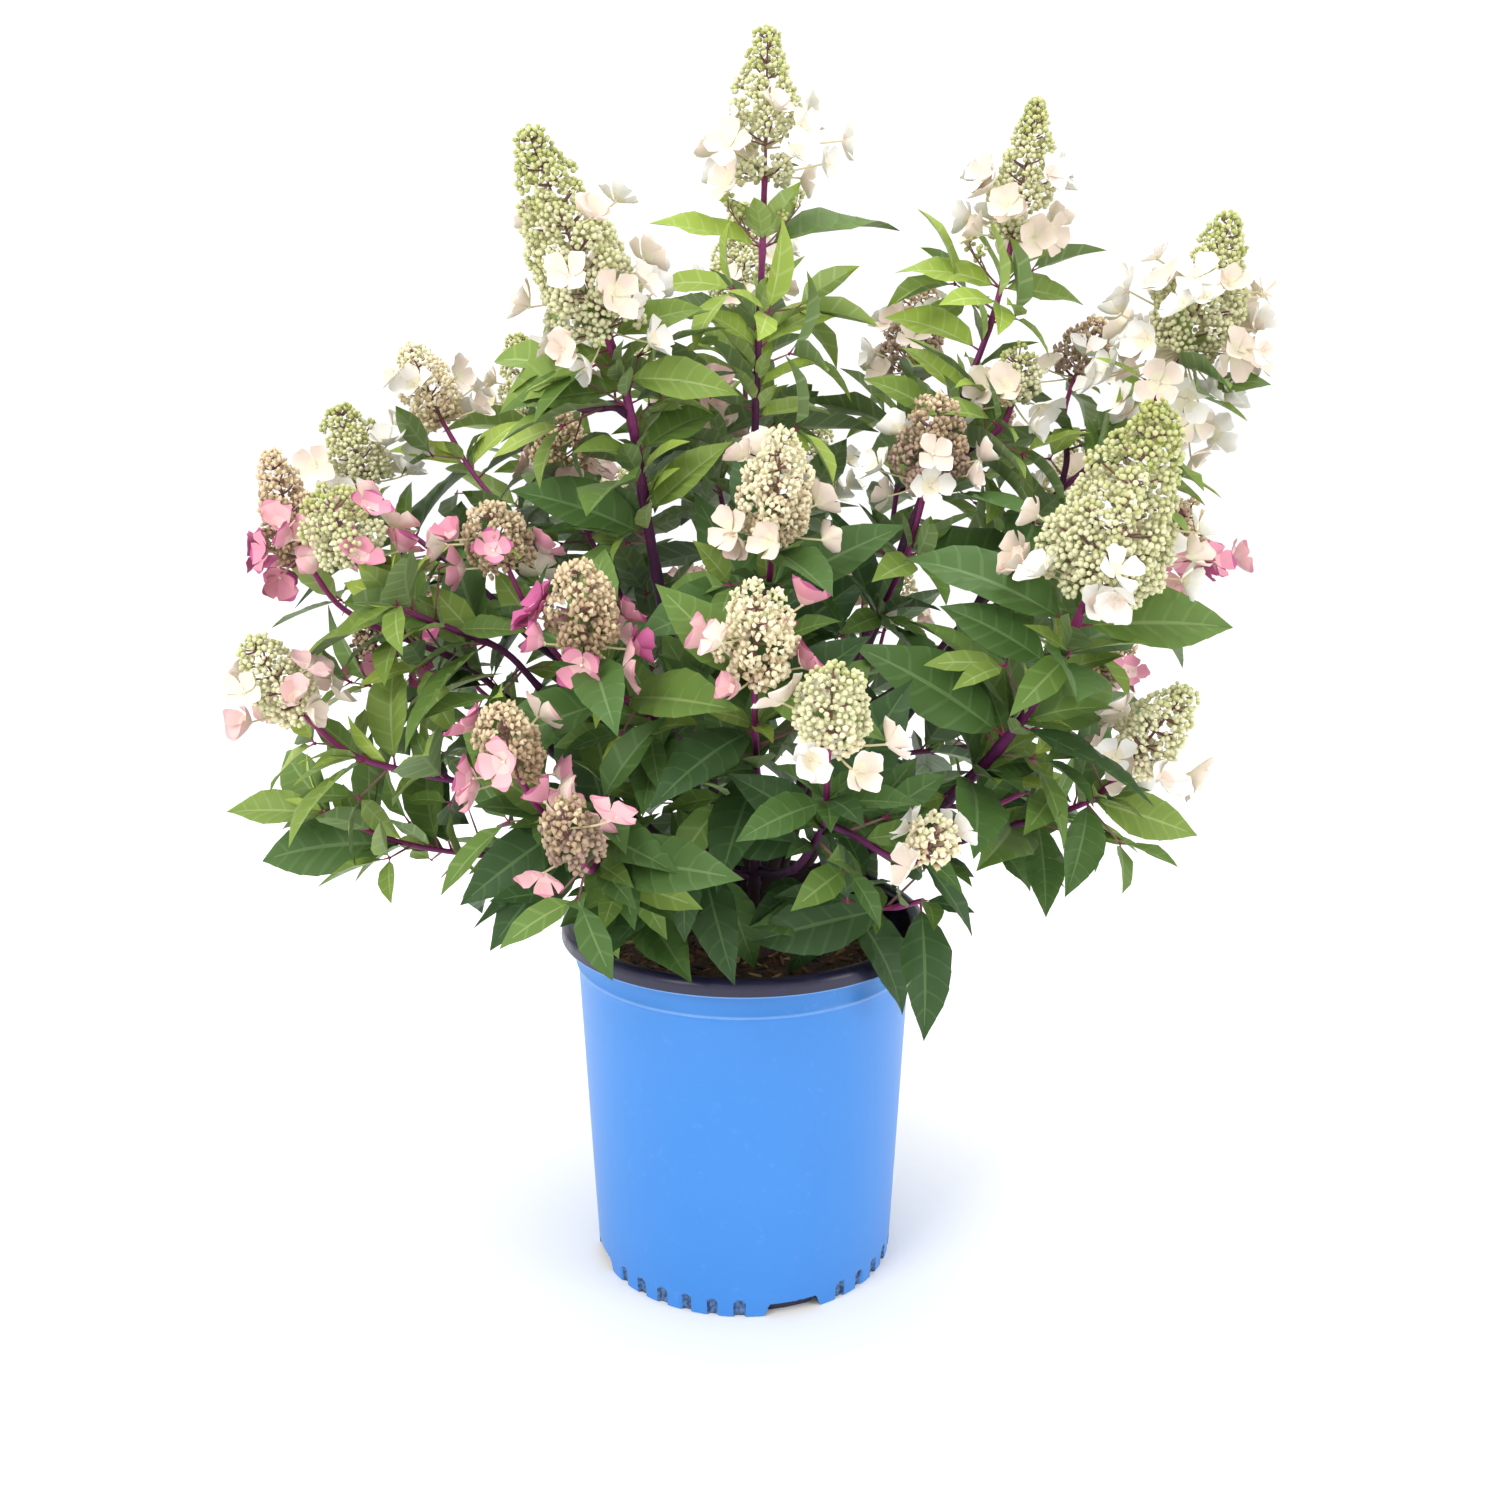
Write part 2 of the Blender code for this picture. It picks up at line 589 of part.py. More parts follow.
def stem_radii(name):
    """A shoot's radii at its foot and tip."""
    stout = STOUT_STEMS.get(name, 1.0)
    return STEM_RADIUS * stout, STEM_TIP_RADIUS * stout


def grow_masses(limbs, room):
    """Every mass as its stems, panicles, florets and leaves, each kept only where it has room."""
    masses = {}
    for index, shoot in enumerate(SHOOTS):
        name, limb_name, fraction, azimuth, reach, height, lean, length, half_width = shoot
        end = place(azimuth, reach, height)
        limb = limbs[limb_name]
        start, start_way, seat = tip_start(limb) if fraction == 1.0 else side_start(limb, fraction, end)
        way = leaning(azimuth, lean)
        points = curve_between(start, start_way, end, way, STEM_STRETCHES)
        mass = {"stems": [(points, seat)], "panicles": [], "florets": [], "leaves": [], "seed": FIRST_SEED + index}
        if length > 0:
            mass["panicles"].append((end, way, length, half_width, mass["seed"]))
        masses[name] = mass
    for owner, fraction, azimuth, reach, height, lean, length, half_width in SIDE_PANICLES:
        mass = masses[owner]
        end = place(azimuth, reach, height)
        start, way = point_along(mass["stems"][0][0], fraction)
        start_way = turned_out(way, across(way, end - start), MASS_TWIG_ANGLE)
        tip_way = leaning(azimuth, lean)
        points = curve_between(start, start_way, end, tip_way, STEM_STRETCHES)
        mass["stems"].append((points, None))
        mass["panicles"].append((end, tip_way, length, half_width, mass["seed"] + SIDE_SEED))
    for name, mass in masses.items():
        swollen = [radius + CLEARANCE for radius in stem_radii(name)]
        for points, _ in mass["stems"]:
            room.add(name, tube(points, *swollen, STEM_SIDES))
        for foot, way, length, half_width, seed in mass["panicles"]:
            room.add(name, panicle(foot, way, length, half_width, seed, CLEARANCE))
    for name, mass in masses.items():
        for foot, way, length, half_width, seed in mass["panicles"]:
            for centre, inward, normal in floret_frames(foot, way, length, half_width, seed):
                whole = floret(centre, inward, normal, CLEARANCE)
                if room.is_clear(name, whole, floret(centre, inward, normal, CLEARANCE, FLORET_FREE)):
                    room.add(name, whole)
                    mass["florets"].append((centre, inward, normal))
    for name, fraction, azimuth, rise, length in SHOWN_LEAVES:
        root, way = point_along(masses[name]["stems"][0][0], fraction)
        axis = leaning(azimuth, 90 - rise)
        spread = math.degrees(way.angle(axis))
        placed = try_leaf(room, name, root, way, across(way, axis), length, spread, 0.0, 1.0)
        if placed:
            masses[name]["leaves"].append(placed)
    with_shown = {shown[0] for shown in SHOWN_LEAVES}
    waiting = []
    for name, mass in masses.items():
        lost = LOST_LEAVES.get(name, ())
        number = 0
        for stem_index, (points, _) in enumerate(mass["stems"]):
            rng = random.Random(mass["seed"] + LEAF_SEED * (stem_index + 1))
            for level, *frame in leaf_frames(points, rng, not mass["panicles"]):
                spread = LEAF_SPREAD + rng.uniform(-LEAF_NOD, LEAF_NOD)
                number += 1
                if number in lost or level == 0 and name in with_shown:
                    continue
                waiting.append((level + stem_index, name, frame, spread))
    waiting.sort(key=lambda entry: entry[0])
    for level, name, frame, spread in waiting:
        placed = try_leaf(room, name, *frame, spread, LEAF_SAG + LEAF_SAG_STEP * level)
        if placed:
            masses[name]["leaves"].append(placed)
    return masses


def material(name, colour, roughness, metallic=0.0):
    made = bpy.data.materials.new(name)
    made.use_nodes = True
    shader = made.node_tree.nodes["Principled BSDF"]
    shader.inputs["Base Color"].default_value = (*colour, 1.0)
    shader.inputs["Roughness"].default_value = roughness
    shader.inputs["Metallic"].default_value = metallic
    return made


def add_object(name, verts, faces, finish, collection=None):
    mesh = bpy.data.meshes.new(name)
    mesh.from_pydata(verts, [], faces)
    mesh.validate()
    mesh.materials.append(finish)
    made = bpy.data.objects.new(name, mesh)
    (collection or bpy.context.scene.collection).objects.link(made)
    return made


def turned(name, profile, segments, finish):
    """A solid turned about +Z from a profile of (radius, height) that starts and ends on the axis."""
    bm = bmesh.new()
    verts = [bm.verts.new((radius, 0.0, height)) for radius, height in profile]
    edges = [bm.edges.new(pair) for pair in zip(verts, verts[1:])]
    bmesh.ops.spin(
        bm,
        geom=verts + edges,
        cent=(0, 0, 0),
        axis=(0, 0, 1),
        angle=2 * math.pi,
        steps=segments,
        use_merge=True,
        use_duplicate=False,
    )
    bmesh.ops.remove_doubles(bm, verts=bm.verts, dist=1e-6)
    bmesh.ops.recalc_face_normals(bm, faces=bm.faces)
    mesh = bpy.data.meshes.new(name)
    bm.to_mesh(mesh)
    bm.free()
    mesh.materials.append(finish)
    mesh.shade_smooth()
    mesh.set_sharp_from_angle(angle=math.radians(35))
    made = bpy.data.objects.new(name, mesh)
    bpy.context.scene.collection.objects.link(made)
    return made


def inner_radius(height):
    """The pot's inside radius at a height, from the foot to the bead."""
    foot_inside = BASE_RADIUS - FOOT_THICKNESS
    top_inside = BODY_TOP_RADIUS - WALL
    return foot_inside + (top_inside - foot_inside) * height / (POT_HEIGHT - RIM_HEIGHT - BEAD_HEIGHT)


def pot_profile():
    bead_top = POT_HEIGHT - RIM_HEIGHT
    bead_foot = bead_top - BEAD_HEIGHT
    floor_top = CHANNEL_HEIGHT + FLOOR_THICKNESS
    foot_inside = BASE_RADIUS - FOOT_THICKNESS
    return [
        (0.0, 0.0),
        (FLAT_RADIUS, 0.0),
        (FLAT_RADIUS + CHANNEL_SLOPE, CHANNEL_HEIGHT),
        (foot_inside - CHANNEL_SLOPE / 2, CHANNEL_HEIGHT),
        (foot_inside, 0.0),
        (BASE_RADIUS, 0.0),
        (BODY_TOP_RADIUS, bead_foot),
        (BEAD_RADIUS, bead_foot + 0.001),
        (BEAD_RADIUS, bead_top),
        (RIM_RADIUS - RIM_ROUNDING, bead_top),
        (RIM_RADIUS, bead_top + RIM_ROUNDING),
        (RIM_RADIUS, POT_HEIGHT - RIM_ROUNDING),
        (RIM_RADIUS - RIM_ROUNDING, POT_HEIGHT),
        (BODY_TOP_RADIUS + RIM_ROUNDING, POT_HEIGHT),
        (BODY_TOP_RADIUS, POT_HEIGHT - RIM_ROUNDING),
        (BODY_TOP_RADIUS - WALL, bead_foot),
        (inner_radius(floor_top), floor_top),
        (FLAT_RADIUS + CHANNEL_SLOPE / 2, floor_top),
        (FLAT_RADIUS - CHANNEL_SLOPE / 2, FLOOR_THICKNESS),
        (0.0, FLOOR_THICKNESS),
    ]


def radial_prism(outline, azimuth, inner, outer):
    """A prism whose outline of (sideways, height) points is pushed outwards from one radius to another."""
    out = place(azimuth, 1.0, 0.0)
    side = Vector((-out.y, out.x, 0.0))
    verts = []
    for radius in (inner, outer):
        verts += [out * radius + side * sideways + Vector((0.0, 0.0, height)) for sideways, height in outline]
    count = len(outline)
    faces = [tuple(reversed(range(count))), tuple(range(count, 2 * count))]
    for index in range(count):
        after = (index + 1) % count
        faces.append((index, after, after + count, index + count))
    return verts, faces


def foot_cutters():
    """One cutter for the four drain notches and the ribs pressed in between them."""
    below = -0.004
    half_notch = BASE_RADIUS * math.radians(NOTCH_ANGLE / 2)
    shoulder = half_notch - NOTCH_HEIGHT * 0.6
    notch = [(-half_notch, below), (half_notch, below), (shoulder, NOTCH_HEIGHT), (-shoulder, NOTCH_HEIGHT)]
    half_rib = RIB_WIDTH / 2
    rib = [(-half_rib, below), (half_rib, below)]
    for step in range(RIB_ARCH_STEPS + 1):
        turn = math.pi * step / RIB_ARCH_STEPS
        rib.append((half_rib * math.cos(turn), RIB_HEIGHT - half_rib + half_rib * math.sin(turn)))
    verts, faces = [], []
    quarter = 360.0 / NOTCH_COUNT
    for corner in range(NOTCH_COUNT):
        middle = NOTCH_CENTRE + quarter * corner
        prisms = [(notch, middle, BASE_RADIUS - FOOT_THICKNESS - CHANNEL_SLOPE / 3)]
        for number in range(RIBS_PER_QUARTER):
            prisms.append((rib, middle + 2 * RIB_PITCH + RIB_PITCH * number, BASE_RADIUS - RIB_DEPTH))
        for outline, azimuth, inner in prisms:
            more_verts, more_faces = radial_prism(outline, azimuth, inner, RIM_RADIUS)
            faces += [tuple(index + len(verts) for index in face) for face in more_faces]
            verts += more_verts
    return verts, faces


def make_pot():
    blue = material("pot_plastic", (0.055, 0.33, 0.86), 0.38)
    pot = turned("pot", pot_profile(), POT_SEGMENTS, blue)
    cutter = add_object("pot_foot_cutter", *foot_cutters(), blue)
    bm = bmesh.new()
    bm.from_mesh(cutter.data)
    bmesh.ops.recalc_face_normals(bm, faces=bm.faces)
    bm.to_mesh(cutter.data)
    bm.free()
    cutter.hide_render = True
    cutter.display_type = "WIRE"
    cut = pot.modifiers.new("foot", "BOOLEAN")
    cut.operation = "DIFFERENCE"
    cut.object = cutter
    return pot


def make_soil():
    bark_mix = material("potting_soil", (0.06, 0.035, 0.022), 0.95)
    floor_top = CHANNEL_HEIGHT + FLOOR_THICKNESS + GAP
    profile = [
        (0.0, FLOOR_THICKNESS + GAP),
        (FLAT_RADIUS - CHANNEL_SLOPE / 2 - GAP, FLOOR_THICKNESS + GAP),
        (FLAT_RADIUS + CHANNEL_SLOPE / 2 - GAP, floor_top),
        (inner_radius(floor_top) - 2 * GAP, floor_top),
        (inner_radius(SOIL_EDGE_HEIGHT) - 2 * GAP, SOIL_EDGE_HEIGHT),
        (SOIL_FLAT_RADIUS, SOIL_MIDDLE_HEIGHT),
        (0.0, SOIL_MIDDLE_HEIGHT),
    ]
    return turned("potting_soil", profile, POT_SEGMENTS, bark_mix)


def make_root_crown(wood):
    foot = SOIL_MIDDLE_HEIGHT + GAP
    profile = [(0.0, foot)]
    for ring in range(CROWN_RINGS):
        turn = math.pi / 2 * ring / CROWN_RINGS
        profile.append((CROWN_RADIUS * math.cos(turn), foot + CROWN_HEIGHT * math.sin(turn)))
    profile.append((0.0, foot + CROWN_HEIGHT))
    return turned("root_crown", profile, CROWN_SEGMENTS, wood)


def tree_of(made):
    mesh = made.data
    return BVHTree.FromPolygons([v.co.copy() for v in mesh.vertices], [tuple(p.vertices) for p in mesh.polygons])


def shape_of(made):
    mesh = made.data
    return [v.co.copy() for v in mesh.vertices], [tuple(p.vertices) for p in mesh.polygons]


def islands(bm):
    """The mesh's separate bodies, each a list of faces."""
    found = []
    left = set(bm.faces)
    while left:
        body = []
        edge_of_body = [left.pop()]
        while edge_of_body:
            face = edge_of_body.pop()
            body.append(face)
            for edge in face.edges:
                for near in edge.link_faces:
                    if near in left:
                        left.remove(near)
                        edge_of_body.append(near)
        found.append(body)
    return found


def box_size(body):
    points = [vert.co for face in body for vert in face.verts]
    return sum(max(p[axis] for p in points) - min(p[axis] for p in points) for axis in range(3))


def is_closed(mesh):
    bm = bmesh.new()
    bm.from_mesh(mesh)
    closed = all(len(edge.link_faces) == 2 for edge in bm.edges)
    bm.free()
    return closed


def keep_largest(mesh):
    """Drops loose scraps and fills sealed hollows, by keeping the one body that the rest lie in or beside."""
    bm = bmesh.new()
    bm.from_mesh(mesh)
    bodies = islands(bm)
    bodies.sort(key=box_size)
    for body in bodies[:-1]:
        bmesh.ops.delete(bm, geom=body, context="FACES")
    bm.to_mesh(mesh)
    bm.free()


def fuse(name, shapes, finish):
    """One closed mesh from a stem and the pieces that stand on it, by a single union on a collection."""
    pieces = bpy.data.collections.new(name)
    bpy.context.scene.collection.children.link(pieces)
    stem = add_object(name, *shapes[0], finish)
    for index, shape in enumerate(shapes[1:]):
        add_object(f"{name}_piece_{index}", *shape, finish, pieces)
    union = stem.modifiers.new("union", "BOOLEAN")
    union.operation = "UNION"
    union.operand_type = "COLLECTION"
    union.collection = pieces
    for solver in ("EXACT", "MANIFOLD"):
        union.solver = solver
        evaluated = stem.evaluated_get(bpy.context.evaluated_depsgraph_get())
        mesh = bpy.data.meshes.new_from_object(evaluated)
        keep_largest(mesh)
        if is_closed(mesh):
            break
    stem.modifiers.remove(union)
    stem.data = mesh
    for piece in list(pieces.objects):
        bpy.data.objects.remove(piece)
    bpy.data.collections.remove(pieces)
    return stem


def make_mass(name, mass, finish):
    shapes = []
    for points, seat in mass["stems"]:
        shapes.append(tube(points, *stem_radii(name), STEM_SIDES, seat))
    shapes += [panicle(*frame) for frame in mass["panicles"]]
    shapes += [floret(*frame) for frame in mass["florets"]]
    shapes += [leaf(*frame) for frame in mass["leaves"]]
    return fuse(name, shapes, finish)


def build():
    for made in list(bpy.data.objects):
        bpy.data.objects.remove(made)
    wood = material("woody_stem", (0.10, 0.06, 0.045), 0.8)
    purple = material("purple_cane", (0.09, 0.02, 0.06), 0.5)
    foliage = material("foliage_and_blossom", (0.12, 0.24, 0.05), 0.55)
    pot = make_pot()
    soil = make_soil()
    crown = make_root_crown(wood)
    limbs = grow_canes(tree_of(crown))
    grow_boughs(limbs)
    room = Room()
    for base in (pot, soil, crown):
        room.add("wood", shape_of(base))
    for name, limb in limbs.items():
        sides = CANE_SIDES if name.startswith("cane") else BOUGH_SIDES
        add_object(name, *tube(limb["points"], *limb["radii"], sides, limb["seat"]), purple)
        swollen = [radius + CLEARANCE for radius in limb["radii"]]
        room.add("wood", tube(limb["points"], *swollen, sides, limb["seat"]))
    for name, mass in grow_masses(limbs, room).items():
        make_mass(name, mass, foliage)


build()
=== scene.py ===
import math
import random

import bmesh
import bpy
import numpy as np
from mathutils import Matrix, Vector, noise
from mathutils.bvhtree import BVHTree


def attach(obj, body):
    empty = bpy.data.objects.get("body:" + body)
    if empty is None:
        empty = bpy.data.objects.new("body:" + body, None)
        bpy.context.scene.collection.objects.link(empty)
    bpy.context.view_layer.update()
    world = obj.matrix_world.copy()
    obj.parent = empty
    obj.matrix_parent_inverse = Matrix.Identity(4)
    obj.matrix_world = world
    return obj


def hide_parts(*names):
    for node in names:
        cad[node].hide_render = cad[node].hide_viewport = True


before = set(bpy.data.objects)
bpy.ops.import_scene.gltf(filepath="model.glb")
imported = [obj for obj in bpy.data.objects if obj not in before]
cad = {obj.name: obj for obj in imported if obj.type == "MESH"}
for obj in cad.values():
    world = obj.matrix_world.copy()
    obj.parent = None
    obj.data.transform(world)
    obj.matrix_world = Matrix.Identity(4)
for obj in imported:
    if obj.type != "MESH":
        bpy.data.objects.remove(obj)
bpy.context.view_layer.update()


# Pot. A thin nursery container of moulded plastic, bright blue outside and charcoal on its rolled rim and
# inside, with a raised ring under the rim. Pockets with round tops are pressed into its foot, which has four
# drain notches. It is one turned shell, with a painted highlight in pale blue under the rim and on the ring's
# foot, and painted shade in darker blue in the pockets.
POT_HEIGHT = 0.2185
POT_STEPS = 480
BASE_RADIUS = 0.0925
TOP_RADIUS = 0.1012
BEAD_RADIUS = 0.1026
BEAD_TOP = 0.2085
BEAD_FOOT = 0.1925
RIM_RADIUS = 0.111
WALL = 0.0022
FOOT_INSIDE = 0.0895
CHANNEL_HEIGHT = 0.006
CHANNEL_AT_NOTCH = 0.0006
FLOOR_TOP = 0.009
FLAT_RADIUS = 0.046
POCKET_ROWS = 16
POCKET_ROW = 0.001
POCKET_WIDTH = 0.0066
POCKET_HEIGHT = 0.0112
POCKET_DEPTH = 0.0024
POCKET_EDGE = 0.0011
POCKET_PITCH = 10
POCKETS_PER_QUARTER = 6
NOTCH_CENTRE = 18.5
NOTCH_HALF_ANGLE = 10.0
NOTCH_SLOPE = 2.6
NOTCH_HEIGHT = 0.008
NOTCH_RAGGED = 0.0006
EDGE_ROUND = 0.0006
FLOOR_UNDER = 0.003
WALL_STATIONS = (0.2, 0.4, 0.6, 0.8, 0.97)
RIM_ROLL_OUT = 0.0050
RIM_ROLL_UP = 0.0052
RIM_STATIONS = 9
RIM_FIRST_TURN = -18
RIM_TURN = 24
CHARCOAL, PAINTED_HIGHLIGHT, POCKET_SHADE = 1, 2, 3
BLUES = ((0.026, 0.196, 0.590), (0.044, 0.232, 0.660))
SCUFF = (0.18, 0.40, 0.80)
CHARCOALS = ((0.012, 0.010, 0.040), (0.044, 0.034, 0.105))
# Pale blues of the painted highlight under the rim and on the ring's foot.
PAINTED_HIGHLIGHT_BLUES = ((0.07, 0.26, 0.66), (0.17, 0.34, 0.68))
# Dark blues of the painted shade in the pockets.
POCKET_SHADE_BLUES = ((0.016, 0.050, 0.140), (0.120, 0.250, 0.480))


class Signal:
    """A socket among a material's nodes, so that shader maths reads as plain sums."""

    def __init__(self, tree, socket):
        self.tree = tree
        self.socket = socket

    def node(self, kind, settings, sockets, output=0):
        """Adds one node: its settings first, then the values or links of its sockets."""
        made = self.tree.nodes.new(kind)
        for name, value in settings.items():
            if name == "stops":
                while len(made.color_ramp.elements) < len(value):
                    made.color_ramp.elements.new(0.5)
                for stop, (place, colour) in zip(made.color_ramp.elements, value):
                    stop.position = place
                    stop.color = (*colour, 1.0)
            else:
                setattr(made, name, value)
        for name, value in sockets.items():
            if isinstance(value, Signal):
                self.tree.links.new(value.socket, made.inputs[name])
            else:
                made.inputs[name].default_value = value
        return Signal(self.tree, made.outputs[output])

    def maths(self, operation, first, second):
        return self.node("ShaderNodeMath", {"operation": operation}, {0: first, 1: second})

    def __add__(self, other):
        return self.maths("ADD", self, other)

    def __mul__(self, other):
        return self.maths("MULTIPLY", self, other)

    def __sub__(self, other):
        return self.maths("SUBTRACT", self, other)

    def __rsub__(self, other):
        return self.maths("SUBTRACT", other, self)

    __radd__ = __add__
    __rmul__ = __mul__


class Finish:
    """One material on one Principled shader. Its place is the point of the piece in metres."""

    def __init__(self, name):
        self.material = bpy.data.materials.new(name)
        self.material.use_nodes = True
        self.tree = self.material.node_tree
        self.shader = self.tree.nodes["Principled BSDF"]
        self.place = None

    def patterned(self):
        self.place = Signal(self.tree, self.tree.nodes.new("ShaderNodeTexCoord").outputs["Object"])
        return self

    def grain(self, scale, detail, rough=0.5):
        """Cloudy noise from 0 to 1 over the piece."""
        sockets = {"Vector": self.place, "Scale": scale, "Detail": detail, "Roughness": rough}
        return self.place.node("ShaderNodeTexNoise", {}, sockets)

    def blend(self, share, first, second):
        """A colour between two others, each a signal or plain red, green and blue."""
        ends = [end if isinstance(end, Signal) else (*end, 1.0) for end in (first, second)]
        sockets = {0: share, 6: ends[0], 7: ends[1]}
        return self.place.node("ShaderNodeMix", {"data_type": "RGBA"}, sockets, 2)

    def between(self, signal, low, high, floor=0.0, top=1.0):
        """A signal's stretch from low to high, spread from floor to top."""
        sockets = {0: signal, 1: low, 2: high, 3: floor, 4: top}
        return self.place.node("ShaderNodeMapRange", {"clamp": True}, sockets)

    def relief(self, height, strength, depth):
        sockets = {"Strength": strength, "Distance": depth, "Height": height}
        return self.place.node("ShaderNodeBump", {}, sockets)

    def done(self, values):
        for name, value in values.items():
            if isinstance(value, Signal):
                self.tree.links.new(value.socket, self.shader.inputs[name])
            elif isinstance(value, tuple):
                self.shader.inputs[name].default_value = (*value, 1.0)
            else:
                self.shader.inputs[name].default_value = value
        return self.material


def put_in_order(bm):
    """Sorts a bmesh's points, edges and faces by their places, so that each run gives the same mesh."""
    in_order = sorted(bm.verts, key=lambda vert: vert.co[:])
    numbers = [{vert: number for number, vert in enumerate(in_order)}]
    for shapes in (bm.edges, bm.faces):
        in_order = sorted(shapes, key=lambda shape: sorted(numbers[0][vert] for vert in shape.verts))
        numbers.append({shape: number for number, shape in enumerate(in_order)})
    for shapes, number_of in zip((bm.verts, bm.edges, bm.faces), numbers):
        shapes.sort(key=number_of.get)


def piece_of(bm, name, finishes, sharp_degrees):
    """A finished bmesh as one object, its faces outwards and its sharp edges marked."""
    bmesh.ops.recalc_face_normals(bm, faces=bm.faces)
    put_in_order(bm)
    mesh = bpy.data.meshes.new(name)
    bm.to_mesh(mesh)
    bm.free()
    return shown(mesh, name, finishes, sharp_degrees)


def shown(mesh, name, finishes, sharp_degrees):
    """A mesh as an object of the scene, smooth but for its sharp edges, that rides on the one body."""
    for finish in finishes:
        mesh.materials.append(finish)
    mesh.shade_smooth()
    mesh.set_sharp_from_angle(angle=math.radians(sharp_degrees))
    made = bpy.data.objects.new(name, mesh)
    bpy.context.scene.collection.objects.link(made)
    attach(made, "root")
    return made


def turned_shell(profile, steps):
    """A bmesh turned about the pot's axis from (radius, height) pairs."""
    bm = bmesh.new()
    verts = [bm.verts.new((radius, 0.0, height)) for radius, height in profile]
    edges = [bm.edges.new(pair) for pair in zip(verts, verts[1:])]
    bmesh.ops.spin(
        bm,
        geom=verts + edges,
        cent=(0, 0, 0),
        axis=(0, 0, 1),
        angle=2 * math.pi,
        steps=steps,
        use_merge=True,
        use_duplicate=False,
    )
    bmesh.ops.remove_doubles(bm, verts=bm.verts, dist=1e-6)
    return bm


def soft_step(value):
    """Runs from 0 to 1 with a soft start and end."""
    held = min(max(value, 0.0), 1.0)
    return held * held * (3.0 - 2.0 * held)


def azimuth_of(point):
    return math.degrees(math.atan2(point.x, -point.y))


def turn_from(azimuth, centre):
    """The signed angle in degrees from one azimuth to another."""
    return (azimuth - centre + 180.0) % 360.0 - 180.0


def pot_rows():
    """The shell's (radius, height) pairs: under its floor, up the wall, over the rim and down inside."""
    rows = [(0.0, 0.0), (FLAT_RADIUS, 0.0), (FLAT_RADIUS + 0.006, CHANNEL_HEIGHT)]
    rows += [(FOOT_INSIDE - 0.003, CHANNEL_HEIGHT), (FOOT_INSIDE, EDGE_ROUND)]
    rows += [(FOOT_INSIDE + EDGE_ROUND, 0.0), (BASE_RADIUS - EDGE_ROUND, 0.0)]
    wall_slope = (TOP_RADIUS - BASE_RADIUS) / BEAD_FOOT
    for row in range(POCKET_ROWS):
        height = EDGE_ROUND + row * POCKET_ROW
        rows.append((BASE_RADIUS + wall_slope * height, height))
    for share in WALL_STATIONS:
        rows.append((BASE_RADIUS + wall_slope * BEAD_FOOT * share, BEAD_FOOT * share))
    rows += [(TOP_RADIUS, BEAD_FOOT - 0.0012), (TOP_RADIUS + 0.0004, BEAD_FOOT - 0.0004)]
    rows += [(BEAD_RADIUS - 0.0003, BEAD_FOOT), (BEAD_RADIUS, BEAD_FOOT + 0.0008)]
    rows += [(BEAD_RADIUS - 0.0002, BEAD_FOOT + 0.0018), (BEAD_RADIUS - 0.0006, BEAD_FOOT + 0.0024)]
    rows += [(BEAD_RADIUS - 0.0007, BEAD_TOP - 0.0010), (BEAD_RADIUS, BEAD_TOP + 0.0006)]
    rows += [(RIM_RADIUS - 0.0022, BEAD_TOP + 0.0008), (RIM_RADIUS - 0.0008, BEAD_TOP + 0.0002)]
    rows += [(RIM_RADIUS - 0.0001, BEAD_TOP + 0.0004), (RIM_RADIUS, BEAD_TOP + 0.0011)]
    roll_radius, roll_height = RIM_RADIUS - 0.0052, BEAD_TOP + 0.0048
    for step in range(RIM_STATIONS):
        turn = math.radians(RIM_FIRST_TURN + step * RIM_TURN)
        rows.append((roll_radius + RIM_ROLL_OUT * math.cos(turn), roll_height + RIM_ROLL_UP * math.sin(turn)))
    rows += [(TOP_RADIUS + 0.0006, BEAD_TOP + 0.0030), (TOP_RADIUS - WALL, BEAD_FOOT)]
    rows += [(FOOT_INSIDE + 0.0002, FLOOR_TOP), (FLAT_RADIUS + 0.003, FLOOR_TOP)]
    rows += [(FLAT_RADIUS - 0.003, FLOOR_UNDER), (0.0, FLOOR_UNDER)]
    return rows


def press_foot(bm):
    """Presses the pockets into the foot, gives them painted shade, and lifts its edge at the drain notches.
    """
    for vert in bm.verts:
        radius = math.hypot(vert.co.x, vert.co.y)
        if vert.co.z > POCKET_HEIGHT + 0.001 or radius < FOOT_INSIDE - 0.004:
            continue
        azimuth = azimuth_of(vert.co)
        corner = round((azimuth - NOTCH_CENTRE) / 90.0)
        off = abs(turn_from(azimuth, NOTCH_CENTRE + 90.0 * corner))
        edge = soft_step((NOTCH_HALF_ANGLE + NOTCH_SLOPE / 2 - off) / NOTCH_SLOPE)
        if radius > FOOT_INSIDE - 0.001:
            ragged = NOTCH_RAGGED * noise.noise(Vector((azimuth * 0.6, 0.0, 3.0)))
            vert.co.z = max(vert.co.z, (NOTCH_HEIGHT + ragged) * edge)
        elif vert.co.z < CHANNEL_HEIGHT + 0.001:
            vert.co.z = CHANNEL_HEIGHT + (CHANNEL_AT_NOTCH - CHANNEL_HEIGHT) * edge
        if radius < BASE_RADIUS - 0.0008:
            continue
        past = turn_from(azimuth, NOTCH_CENTRE) % 90.0
        number = round(past / POCKET_PITCH)
        if 2 <= number < 2 + POCKETS_PER_QUARTER:
            aside = math.radians(past - number * POCKET_PITCH) * BASE_RADIUS
            above = max(0.0, vert.co.z - (POCKET_HEIGHT - POCKET_WIDTH / 2))
            inside = POCKET_WIDTH / 2 - math.hypot(aside, above)
            pressed = soft_step(inside / POCKET_EDGE)
            vert.co.x *= 1.0 - POCKET_DEPTH * pressed / radius
            vert.co.y *= 1.0 - POCKET_DEPTH * pressed / radius
            # Painted shade: the pressed-in middle of each pocket takes the darker pocket blue.
            if pressed > 0.5 and vert.co.z > 0.0005:
                for face in vert.link_faces:
                    face.material_index = POCKET_SHADE


